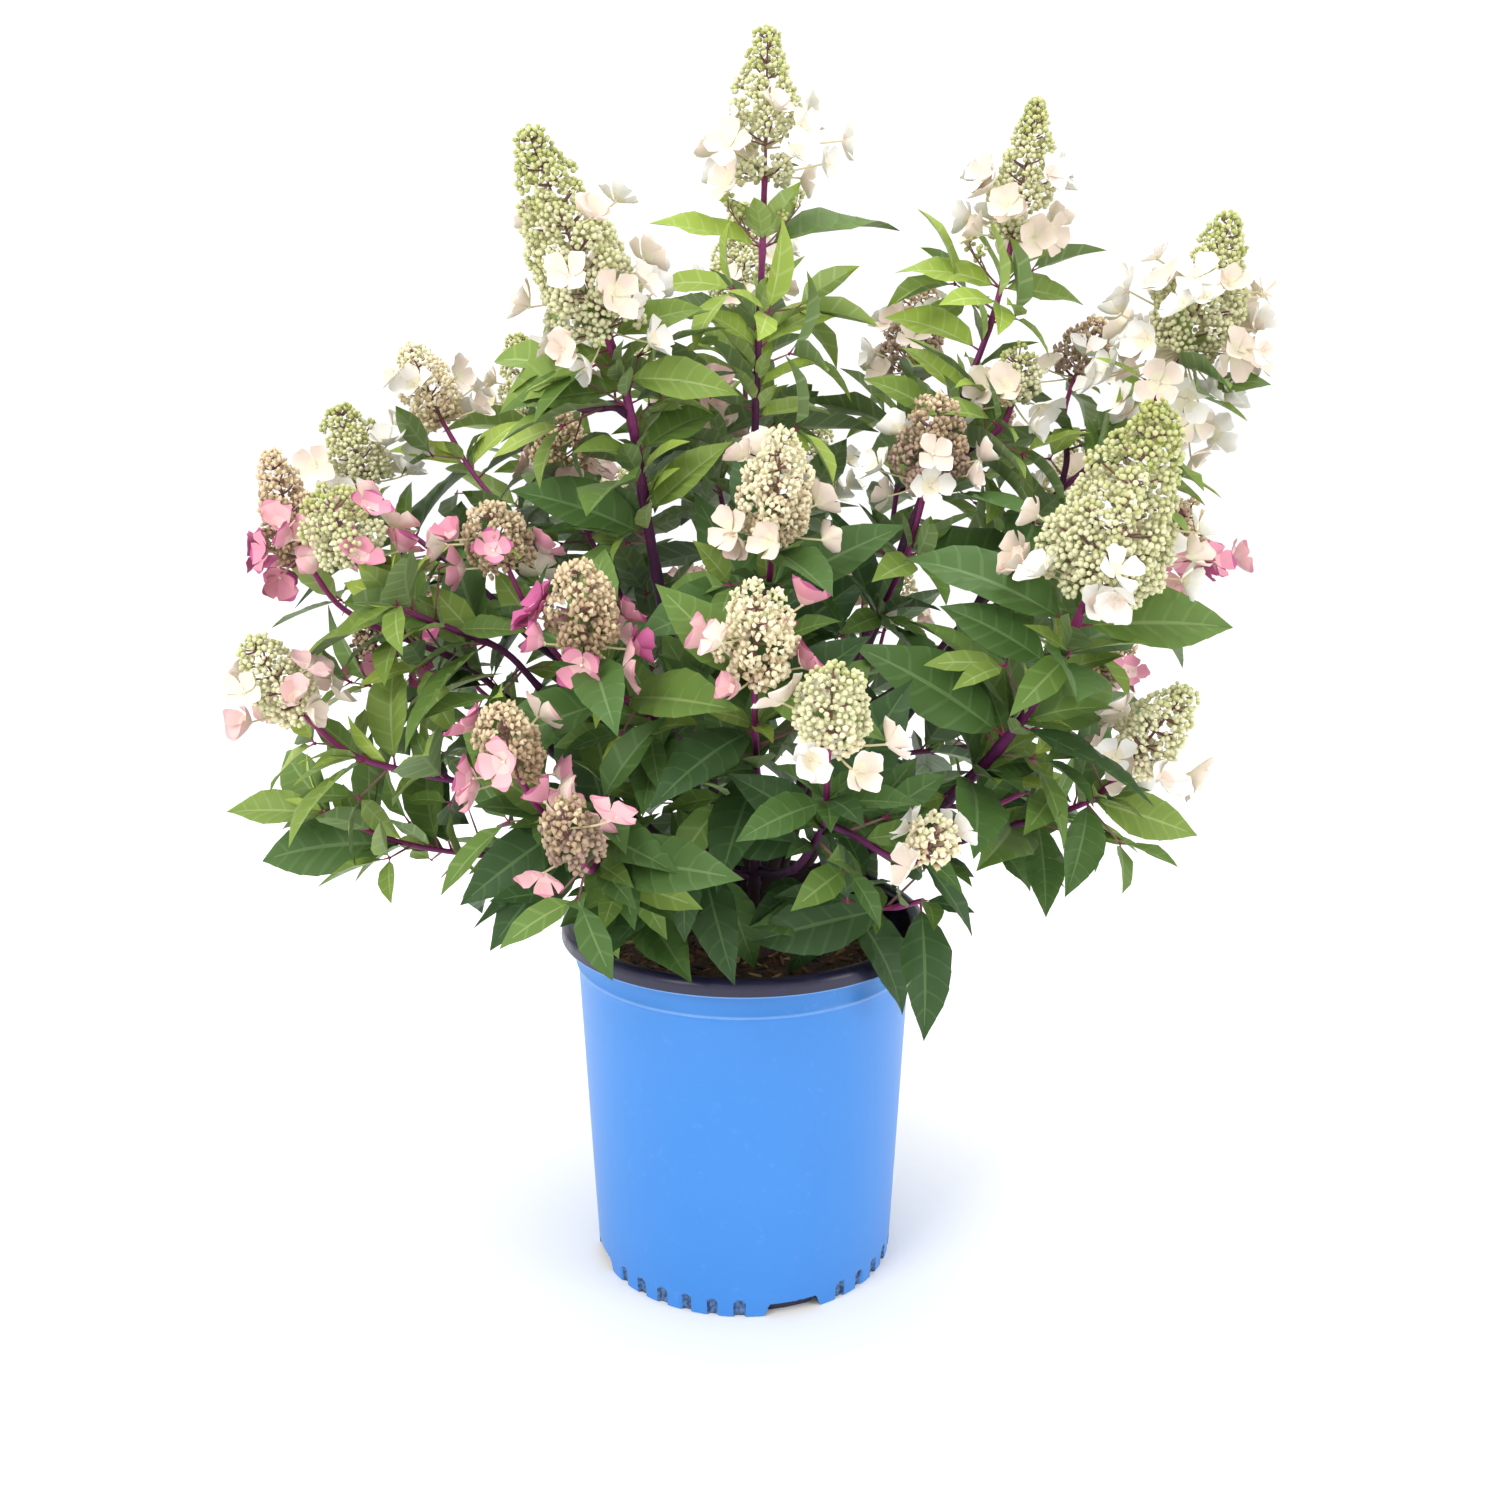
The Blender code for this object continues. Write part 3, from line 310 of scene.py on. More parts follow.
def blue_plastic():
    blue = Finish("pot_blue_plastic").patterned()
    cloud = blue.grain(9.0, 3.0)
    scuffs = blue.between(blue.grain(140.0, 4.0, 0.7), 0.60, 0.72)
    colour = blue.blend(scuffs * 0.16, blue.blend(cloud, *BLUES), SCUFF)
    skin = blue.relief(blue.grain(900.0, 2.0), 0.08, 0.0003)
    return blue.done({"Base Color": colour, "Roughness": cloud * 0.16 + scuffs * 0.12 + 0.30, "Normal": skin})


def charcoal_plastic():
    dark = Finish("pot_charcoal_plastic").patterned()
    dust = dark.between(dark.grain(70.0, 5.0, 0.7), 0.50, 0.75)
    colour = dark.blend(dust * 0.5, *CHARCOALS)
    skin = dark.relief(dark.grain(700.0, 2.0), 0.10, 0.0003)
    return dark.done({"Base Color": colour, "Roughness": dust * 0.25 + 0.34, "Normal": skin})


# Painted highlight: pale blue, mottled by noise, on the lip under the rim and on the ring's foot.
def painted_highlight_plastic():
    pale = Finish("pot_painted_highlight").patterned()
    highlight_mottle = pale.grain(160.0, 3.0)
    return pale.done({"Base Color": pale.blend(highlight_mottle, *PAINTED_HIGHLIGHT_BLUES), "Roughness": highlight_mottle * 0.2 + 0.35})


# Painted shade for the pockets: dark blue, spread lighter by cloudy noise.
def pocket_shade_plastic():
    pocket_shade = Finish("pot_pocket_shade").patterned()
    # Here chips is only noise that spreads the painted shade between darker and lighter blue.
    chips = pocket_shade.between(pocket_shade.grain(420.0, 4.0, 0.7), 0.42, 0.62)
    return pocket_shade.done({"Base Color": pocket_shade.blend(chips, *POCKET_SHADE_BLUES), "Roughness": chips * 0.2 + 0.45})


pot_mesh = turned_shell(pot_rows(), POT_STEPS)
press_foot(pot_mesh)
bmesh.ops.remove_doubles(pot_mesh, verts=pot_mesh.verts, dist=2e-5)
bmesh.ops.recalc_face_normals(pot_mesh, faces=pot_mesh.faces)
for face in pot_mesh.faces:
    middle = face.calc_center_median()
    reach = math.hypot(middle.x, middle.y)
    faces_out = middle.x * face.normal.x + middle.y * face.normal.y > 0.2 * reach
    under_rim = middle.z > BEAD_TOP and reach > RIM_RADIUS - 0.0023
    if middle.z > BEAD_TOP + 0.0009 or not faces_out or reach <= BASE_RADIUS - 0.003:
        face.material_index = CHARCOAL
    # Painted highlight: the lip under the rim and the foot of the raised ring take the pale blue.
    elif under_rim or BEAD_FOOT < middle.z < BEAD_FOOT + 0.0021:
        face.material_index = PAINTED_HIGHLIGHT
pot_plastics = [blue_plastic(), charcoal_plastic(), painted_highlight_plastic(), pocket_shade_plastic()]
pot = piece_of(pot_mesh, "nursery_pot", pot_plastics, 40)
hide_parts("pot")


# Potting soil. A damp, dark mix of bark fines that fills the pot to the height of its ring, a little higher
# in the middle. It is poured in, so its top is uneven.
SOIL_STEPS = 120
SOIL_RINGS = 34
SOIL_EDGE = 0.1955
SOIL_MIDDLE = 0.199
SOIL_ROUGH = 0.0024
SOIL_RADIUS = 0.0985
SOIL_DOME = 0.034
SOIL_CALM = 0.02
SOIL_DEEP = 0.0094
SOIL_BOTTOM = 0.0034
SOIL_BROWNS = ((0.026, 0.015, 0.010), (0.200, 0.115, 0.065))


def soil_height(point):
    """The soil's uneven top over a point of the plan."""
    reach = math.hypot(point.x, point.y)
    fallen = soft_step((reach - SOIL_DOME) / (SOIL_RADIUS - SOIL_DOME))
    level = SOIL_MIDDLE + (SOIL_EDGE - SOIL_MIDDLE) * fallen
    flat = Vector((point.x, point.y, 0.0))
    lumps = noise.noise(flat * 60.0) + 0.5 * noise.noise(flat * 190.0)
    return level + SOIL_ROUGH * lumps * soft_step((reach - SOIL_CALM) / SOIL_CALM)


soil_rows = [(0.0, SOIL_MIDDLE)]
soil_rows += [(SOIL_RADIUS * (ring + 1) / SOIL_RINGS, SOIL_EDGE) for ring in range(SOIL_RINGS)]
soil_rows += [(FOOT_INSIDE, SOIL_DEEP), (FLAT_RADIUS + 0.002, SOIL_DEEP)]
soil_rows += [(FLAT_RADIUS - 0.004, SOIL_BOTTOM), (0.0, SOIL_BOTTOM)]
soil_mesh = turned_shell(soil_rows, SOIL_STEPS)
for vert in soil_mesh.verts:
    if vert.co.z > SOIL_EDGE - 0.001:
        vert.co.z = soil_height(vert.co)
earth = Finish("potting_soil_mix").patterned()
crumbs = earth.between(earth.grain(420.0, 6.0, 0.75), 0.35, 0.68)
damp = earth.grain(30.0, 3.0)
earth_finish = earth.done({
    "Base Color": earth.blend(crumbs, *SOIL_BROWNS),
    "Roughness": damp * 0.25 + 0.70,
    "Normal": earth.relief(crumbs, 0.9, 0.0012),
})
soil = piece_of(soil_mesh, "soil_surface", [earth_finish], 60)
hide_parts("potting_soil")


# Bark chips. Slivers of composted bark and twig lie loose on the soil, from near black to straw coloured.
# Each is a small bevelled sliver, and all are joined in one piece.
CHIP_COUNT = 620
CHIP_SEED = 11
CHIP_NEAREST = 0.06
CHIP_REACH = 0.0955
CHIP_LENGTHS = (0.0035, 0.0125)
CHIP_WIDTHS = (0.16, 0.42)
CHIP_THICKNESSES = (0.12, 0.26)
CHIP_TILT = 0.5
CHIP_TAPER = 0.55
CHIP_TONES = {
    "bark_black": (0.014, 0.009, 0.008),
    "bark_dark": (0.080, 0.042, 0.024),
    "bark_red": (0.210, 0.090, 0.044),
    "bark_brown": (0.300, 0.170, 0.085),
    "bark_straw": (0.520, 0.370, 0.190),
}
# How many of a hundred chips take each tone.
CHIP_SHARES = (16, 28, 22, 22, 12)


class Pattern:
    """A small shape that bmesh operators make once, kept as arrays to be laid down many times."""

    def __init__(self, bm):
        bm.verts.index_update()
        self.points = np.array([vert.co for vert in bm.verts])
        self.corners = np.array([vert.index for face in bm.faces for vert in face.verts])
        self.sizes = np.array([len(face.verts) for face in bm.faces])
        self.zones = np.array([face.material_index for face in bm.faces])
        bm.free()


class Joined:
    """Many laid-down patterns that become one mesh. Ages are numbers that a material may read."""

    def __init__(self):
        self.points = []
        self.corners = []
        self.sizes = []
        self.slots = []
        self.ages = []
        self.count = 0

    def add(self, pattern, points, slots, ages=None):
        self.points.append(points)
        self.corners.append(pattern.corners + self.count)
        self.sizes.append(pattern.sizes)
        self.slots.append(np.broadcast_to(slots, pattern.sizes.shape))
        self.ages.append(np.zeros(len(points)) if ages is None else ages)
        self.count += len(points)

    def piece(self, name, finishes, sharp_degrees):
        mesh = bpy.data.meshes.new(name)
        points = np.concatenate(self.points)
        corners = np.concatenate(self.corners)
        sizes = np.concatenate(self.sizes)
        mesh.vertices.add(len(points))
        mesh.vertices.foreach_set("co", points.ravel())
        mesh.loops.add(len(corners))
        mesh.loops.foreach_set("vertex_index", corners)
        mesh.polygons.add(len(sizes))
        mesh.polygons.foreach_set("loop_start", np.cumsum(sizes) - sizes)
        mesh.polygons.foreach_set("material_index", np.concatenate(self.slots))
        mesh.update(calc_edges=True)
        mesh.attributes.new("age", "FLOAT", "POINT").data.foreach_set("value", np.concatenate(self.ages))
        return shown(mesh, name, finishes, sharp_degrees)


def tones(colours, values):
    """A plain material for each named colour."""
    return [Finish(name).done({"Base Color": colour, **values}) for name, colour in colours.items()]


def frame_rows(side, axis, normal):
    """The rows that turn a pattern's x, y and z to a piece's own directions."""
    return np.array([side, axis, normal])


def chip_pattern():
    """A sliver of length 1, narrower and thinner at its ends, with bevelled edges."""
    bm = bmesh.new()
    bmesh.ops.create_cube(bm, size=1.0)
    lengthways = [edge for edge in bm.edges if abs(edge.verts[0].co.y - edge.verts[1].co.y) > 0.5]
    bmesh.ops.subdivide_edges(bm, edges=lengthways, cuts=2)
    for vert in bm.verts:
        end = abs(vert.co.y) * 2.0
        vert.co.x *= 1.0 - CHIP_TAPER * end**3
        vert.co.z = vert.co.z * (1.0 - 0.45 * end**2) - 0.25 * vert.co.y**2
    bmesh.ops.bevel(
        bm,
        geom=[edge for edge in bm.edges if edge.calc_face_angle(0.0) > 0.6],
        offset=0.12,
        affect="EDGES",
        segments=1,
        profile=0.5,
        material=-1,
    )
    return Pattern(bm)


chip = chip_pattern()
chips = Joined()
chip_rng = random.Random(CHIP_SEED)
for number in range(CHIP_COUNT):
    azimuth = chip_rng.uniform(0, 2 * math.pi)
    reach = CHIP_REACH * math.sqrt(chip_rng.uniform(CHIP_NEAREST, 1.0))
    spot = Vector((reach * math.cos(azimuth), reach * math.sin(azimuth), 0.0))
    spot.z = soil_height(spot) + 0.0002
    size = chip_rng.uniform(*CHIP_LENGTHS)
    width, thickness = size * chip_rng.uniform(*CHIP_WIDTHS), size * chip_rng.uniform(*CHIP_THICKNESSES)
    scale = np.array([width, size, thickness])
    turn = Matrix.Rotation(chip_rng.uniform(0, 2 * math.pi), 3, "Z")
    pitched = Matrix.Rotation(chip_rng.uniform(-CHIP_TILT, CHIP_TILT), 3, "X")
    rolled = Matrix.Rotation(chip_rng.uniform(-CHIP_TILT, CHIP_TILT), 3, "Y")
    rows = np.array((turn @ (pitched @ rolled)).transposed())
    tone = chip_rng.choices(range(len(CHIP_TONES)), CHIP_SHARES)[0]
    chips.add(chip, (chip.points * scale) @ rows + np.array(spot), tone)
bark_chips = chips.piece("bark_chips", tones(CHIP_TONES, {"Roughness": 0.85}), 50)


# Root crown. The low woody knot at soil level that every stem rises from, of old grey-brown bark. It is one
# lumpy dome, sunk a little in the soil.
CROWN_RADIUS = 0.029
CROWN_HEIGHT = 0.024
CROWN_RINGS = 14
CROWN_STEPS = 48
CROWN_SUNK = 0.004
CROWN_LUMPS = 0.07
CROWN_BARKS = ((0.030, 0.018, 0.016), (0.150, 0.100, 0.075))
WOOD_YOUNG = (0.280, 0.030, 0.150)
WOOD_MIDDLE = (0.095, 0.008, 0.070)
WOOD_OLD = (0.022, 0.005, 0.024)
WOOD_BARK = (0.046, 0.026, 0.024)
WOOD_SPECKS = (0.16, 0.08, 0.09)


def wood_finish(name, fine):
    """Bark by age: magenta at the youngest, then purple and aubergine, and grey-brown at the foot."""
    wood = Finish(name).patterned()
    age = wood.place.node("ShaderNodeAttribute", {"attribute_name": "age"}, {}, 2)
    mottle = wood.grain(fine, 4.0, 0.6)
    stops = ((0.0, WOOD_YOUNG), (0.30, WOOD_MIDDLE), (0.62, WOOD_OLD), (1.0, WOOD_BARK))
    colour = wood.place.node("ShaderNodeValToRGB", {"stops": stops}, {0: age + mottle * 0.24 - 0.12})
    specks = wood.between(wood.grain(fine * 2.6, 2.0), 0.62, 0.70)
    return wood.done({
        "Base Color": wood.blend(specks * 0.18, colour, WOOD_SPECKS),
        "Roughness": age * 0.30 + 0.40,
        "Specular IOR Level": 0.3,
        "Normal": wood.relief(mottle + specks * 0.6, 0.35, 0.0006),
    })


knot_rows = [(0.0, SOIL_MIDDLE - CROWN_SUNK), (CROWN_RADIUS, SOIL_MIDDLE - CROWN_SUNK)]
for ring in range(CROWN_RINGS + 1):
    lift = math.pi / 2 * ring / CROWN_RINGS
    knot_rows.append((CROWN_RADIUS * math.cos(lift), SOIL_MIDDLE + CROWN_HEIGHT * math.sin(lift)))
knot_mesh = turned_shell(knot_rows, CROWN_STEPS)
for vert in knot_mesh.verts:
    if vert.co.z > SOIL_MIDDLE - 0.002:
        lump = noise.noise(vert.co * 90.0) + 0.4 * noise.noise(vert.co * 320.0)
        vert.co.x *= 1.0 + CROWN_LUMPS * lump
        vert.co.y *= 1.0 + CROWN_LUMPS * lump
bark = Finish("old_bark").patterned()
furrow = bark.grain(260.0, 5.0, 0.7)
bark_finish = bark.done({
    "Base Color": bark.blend(furrow, *CROWN_BARKS),
    "Roughness": 0.86,
    "Normal": bark.relief(furrow, 0.9, 0.0012),
})
knot = piece_of(knot_mesh, "root_knot", [bark_finish], 50)
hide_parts("root_crown")


# Canes. Thirteen smooth purple stems, brown at the foot, that fan out from the root crown, taper by a quarter
# and swell a little at every old leaf joint. Each stands square on the crown.
GAP = 0.0003
CANE_RADIUS = 0.0040
CANE_TIP_RADIUS = 0.0031
CURVE_STIFFNESS = 0.36
CANE_SEAT_PULL = 0.55
TIP_UPTURN = 0.75
CANE_STRETCHES = 6
CANE_RINGS = 72
CANE_SIDES = 12
JOINT_PITCH = 0.042
JOINT_SWELL = 0.20
JOINT_LENGTH = 0.0042
BARK_RIDGE = 0.055
RIDGES_ACROSS = 2600
RIDGES_ALONG = 160
CANE_AGES = (1.0, 0.55)
# Each cane's name, the azimuth and reach of its foot, and the azimuth, reach and height of its end.
CANES = (
    ("cane_front", 10, 0.0215, 5, 0.085, 0.300),
    ("cane_front_left", -28, 0.0215, -28, 0.100, 0.285),
    ("cane_left_low", -62, 0.0215, -60, 0.130, 0.300),
    ("cane_left", -98, 0.0215, -80, 0.135, 0.355),
    ("cane_left_high", -120, 0.0105, -106, 0.105, 0.400),
    ("cane_upper_left", -40, 0.0105, -57, 0.058, 0.430),
    ("cane_middle", 165, 0.0070, 150, 0.012, 0.480),
    ("cane_upper_right", 78, 0.0115, 90, 0.095, 0.450),
    ("cane_right", 88, 0.0225, 94, 0.150, 0.430),
    ("cane_front_right", 48, 0.0215, 47, 0.150, 0.320),
    ("cane_back_right", 130, 0.0215, 135, 0.115, 0.390),
    ("cane_back", 175, 0.0215, 178, 0.085, 0.430),
    ("cane_back_left", -140, 0.0215, -140, 0.120, 0.385),
)


def place(azimuth, reach, height):
    """The point at an azimuth from the front, a reach from the pot's axis and a height."""
    turn = math.radians(azimuth)
    return Vector((reach * math.sin(turn), -reach * math.cos(turn), height))


def leaning(azimuth, lean):
    """The direction that leans out towards an azimuth by an angle from upright."""
    tilt = math.radians(lean)
    return place(azimuth, math.sin(tilt), math.cos(tilt))


def curve_between(start, start_way, end, end_way, stretches):
    """Points on the curve that leaves start along start_way and arrives at end along end_way."""
    handle = CURVE_STIFFNESS * (end - start).length
    corner_a = start + start_way.normalized() * handle
    corner_b = end - end_way.normalized() * handle
    points = []
    for step in range(stretches + 1):
        t = step / stretches
        s = 1.0 - t
        points.append(start * s**3 + corner_a * (3 * s * s * t) + corner_b * (3 * s * t * t) + end * t**3)
    return points


def ways_along(points):
    """A curve's direction at each of its points."""
    last = len(points) - 1
    return [(points[min(i + 1, last)] - points[max(i - 1, 0)]).normalized() for i in range(last + 1)]


def point_along(points, fraction):
    """The point and direction at a fraction of a curve's length."""
    lengths = [(b - a).length for a, b in zip(points, points[1:])]
    left = fraction * sum(lengths)
    for index, length in enumerate(lengths):
        if left <= length or index == len(lengths) - 1:
            a, b = points[index], points[index + 1]
            return a.lerp(b, min(left / length, 1.0)), (b - a).normalized()
        left -= length


def curve_length(points):
    return sum((b - a).length for a, b in zip(points, points[1:]))


def across(way, hint=Vector((0.0, 0.0, 1.0))):
    """A unit vector square to way, in the plane of way and hint."""
    rest = hint - way * hint.dot(way)
    if rest.length < 1e-3:
        rest = Vector((1.0, 0.0, 0.0)) - way * way.x
    return rest.normalized()


def turned_about(way, turn, side):
    """The direction square to way that stands at an angle round it from side."""
    return side * math.cos(turn) + way.cross(side) * math.sin(turn)


def tube_pattern(sides, rings):
    """A closed tube of radius 1 and length 1: a grid rolled up, its seam welded and its ends filled."""
    bm = bmesh.new()
    bmesh.ops.create_grid(bm, x_segments=sides, y_segments=rings, size=0.5)
    for vert in bm.verts:
        turn = 2 * math.pi * (vert.co.x + 0.5)
        vert.co = (math.cos(turn), vert.co.y + 0.5, -math.sin(turn))
    bmesh.ops.remove_doubles(bm, verts=bm.verts, dist=1e-5)
    bmesh.ops.holes_fill(bm, edges=[edge for edge in bm.edges if edge.is_boundary], sides=0)
    bmesh.ops.recalc_face_normals(bm, faces=bm.faces)
    return Pattern(bm)


def smooth_curve(points, count):
    """A curve's stations from its corner points, rounded between them."""
    knots = np.array(points)
    at = np.linspace(0.0, 1.0, len(knots))
    fine = np.linspace(0.0, 1.0, count)
    ahead = np.gradient(knots, at, axis=0)
    index = np.clip(np.searchsorted(at, fine, side="right") - 1, 0, len(knots) - 2)
    step = at[1] - at[0]
    t = ((fine - at[index]) / step)[:, None]
    a, b = knots[index], knots[index + 1]
    ma, mb = ahead[index] * step, ahead[index + 1] * step
    from_first = a * (2 * t**3 - 3 * t**2 + 1) + ma * (t**3 - 2 * t**2 + t)
    return from_first + b * (3 * t**2 - 2 * t**3) + mb * (t**3 - t**2)


def laid_tube(pattern, rings, points, radii):
    """A tube pattern's points bent along a curve, with a radius for each ring."""
    stations = smooth_curve(points, rings + 1)
    ways = np.gradient(stations, axis=0)
    ways /= np.linalg.norm(ways, axis=1)[:, None]
    side = np.array(across(Vector(ways[0])))
    sides = []
    for way in ways:
        side = side - way * side.dot(way)
        side = side / np.linalg.norm(side)
        sides.append(side)
    sides = np.array(sides)
    others = np.cross(ways, sides)
    ring = np.clip(np.rint(pattern.points[:, 1] * rings).astype(int), 0, rings)
    wide = np.asarray(radii)[ring][:, None]
    around = sides[ring] * pattern.points[:, :1] + others[ring] * pattern.points[:, 2:]
    return stations[ring] + around * wide, ring


def limb_radii(length, radius, tip_radius, rings):
    """A limb's taper, with a swelling at each old leaf joint."""
    at = np.linspace(0.0, length, rings + 1)
    off = np.abs((at + JOINT_PITCH * 0.45) % JOINT_PITCH - JOINT_PITCH / 2)
    swell = 1.0 + JOINT_SWELL * np.exp(-((off / JOINT_LENGTH) ** 2))
    return (radius + (tip_radius - radius) * at / length) * swell


def add_limb(joined, pattern, rings, points, radii, ages):
    """Lays one limb down, with its radii and ages at foot and tip, and bark ridges that run along it."""
    laid, ring = laid_tube(pattern, rings, points, limb_radii(curve_length(points), *radii, rings))
    centre = smooth_curve(points, rings + 1)[ring]
    fine = laid * (RIDGES_ACROSS, RIDGES_ACROSS, RIDGES_ALONG)
    ridges = np.array([noise.noise(Vector(point)) for point in fine])
    laid = centre + (laid - centre) * (1.0 + BARK_RIDGE * ridges)[:, None]
    joined.add(pattern, laid, 0, ages[0] + (ages[1] - ages[0]) * ring / rings)


def grow_canes(crown_tree):
    """Each cane's curve and seat, standing square on the root crown."""
    limbs = {}
    for name, slot_azimuth, slot_reach, azimuth, reach, height in CANES:
        above = place(slot_azimuth, slot_reach, POT_HEIGHT + CROWN_HEIGHT)
        spot, seat, _, _ = crown_tree.ray_cast(above, Vector((0.0, 0.0, -1.0)))
        start = spot + seat * GAP
        end = place(azimuth, reach, height)
        lean = TIP_UPTURN * math.degrees(math.atan2(reach - slot_reach, height - start.z))
        start_way = seat * CANE_SEAT_PULL + Vector((0.0, 0.0, 1.0))
        points = curve_between(start, start_way, end, leaning(azimuth, lean), CANE_STRETCHES)
        limbs[name] = {"points": points, "seat": seat, "radii": (CANE_RADIUS, CANE_TIP_RADIUS)}
    return limbs


def shape_of(made):
    """A CAD node's vertices and faces."""
    mesh = made.data
    return [vert.co.copy() for vert in mesh.vertices], [tuple(face.vertices) for face in mesh.polygons]


limbs = grow_canes(BVHTree.FromPolygons(*shape_of(cad["root_crown"])))
cane_pattern = tube_pattern(CANE_SIDES, CANE_RINGS)
canes = Joined()
for name, limb in limbs.items():
    add_limb(canes, cane_pattern, CANE_RINGS, limb["points"], limb["radii"], CANE_AGES)
cane_bark = canes.piece("cane_bark", [wood_finish("cane_skin", 180.0)], 60)
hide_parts(*limbs)


# Boughs. Six longer side limbs, each leaving its cane at a joint and tapering to where a shoot goes on. They
# are younger than the canes, so they are purple all the way.
BOUGH_RADII = (0.0026, 0.0021)
BOUGH_AGES = (0.66, 0.45)
BOUGH_STRETCHES = 5
BOUGH_RINGS = 40
BOUGH_SIDES = 10
SIDE_SHOOT_ANGLE = 46.0
SIDE_SUNK = 0.0018
# Each bough's name, its cane and how far along that it grows, and the azimuth, reach and height of its end.
BOUGHS = (
    ("bough_front", "cane_front", 0.60, 16, 0.130, 0.300),
    ("bough_front_left", "cane_front_left", 0.55, -18, 0.095, 0.335),
    ("bough_left", "cane_left", 0.62, -63, 0.125, 0.370),
    ("bough_left_high", "cane_left_high", 0.78, -96, 0.145, 0.405),
    ("bough_right_low", "cane_front_right", 0.62, 62, 0.150, 0.290),
    ("bough_back_right", "cane_back_right", 0.66, 122, 0.155, 0.375),
)


def turned_out(way, side, degrees):
    """The direction that is turned from way towards side by an angle."""
    angle = math.radians(degrees)
    return side * math.sin(angle) + way * math.cos(angle)


def side_start(limb, fraction, target):
    """Where a shoot leaves the side of a limb: its first point, first way and the side that it faces."""
    point, way = point_along(limb["points"], fraction)
    seat = across(way, target - point)
    radius = limb["radii"][0] + (limb["radii"][1] - limb["radii"][0]) * fraction
    return point + seat * (radius + GAP), turned_out(way, seat, SIDE_SHOOT_ANGLE), seat


boughs = Joined()
bough_pattern = tube_pattern(BOUGH_SIDES, BOUGH_RINGS)
for name, cane, fraction, azimuth, reach, height in BOUGHS:
    end = place(azimuth, reach, height)
    start, start_way, seat = side_start(limbs[cane], fraction, end)
    rise = math.degrees(math.atan2(reach - math.hypot(start.x, start.y), height - start.z))
    points = curve_between(start, start_way, end, leaning(azimuth, TIP_UPTURN * rise), BOUGH_STRETCHES)
    limbs[name] = {"points": points, "seat": seat, "radii": BOUGH_RADII}
    sunk = [start - seat * SIDE_SUNK, *points[1:]]
    add_limb(boughs, bough_pattern, BOUGH_RINGS, sunk, BOUGH_RADII, BOUGH_AGES)
bough_bark = boughs.piece("bough_bark", [wood_finish("bough_skin", 220.0)], 60)
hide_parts(*[row[0] for row in BOUGHS])


# Shoots. This year's growth, one for each mass: a smooth stem, purple below and magenta above, which carries
# opposite leaves and ends in a cone of buds. Where each leaf and floret stands comes from the seeded rule of
# the solids: it is tried for room among all that already stands, and skipped where it has none.
STEM_RADIUS = 0.0020
STEM_TIP_RADIUS = 0.0014
STEM_AGES = (0.52, 0.02)
STEM_SUNK = 0.003
STOUT_STEMS = {"mass_top": 1.2, "mass_upper_left": 1.6, "mass_upper_right": 1.2, "mass_near_right": 1.6}
STEM_STRETCHES = 4
STEM_SIDES = 8
STEM_RINGS = 30
SOLID_STEM_SIDES = 3
SOLID_LIMB_SIDES = 5
MASS_TWIG_ANGLE = 45.0
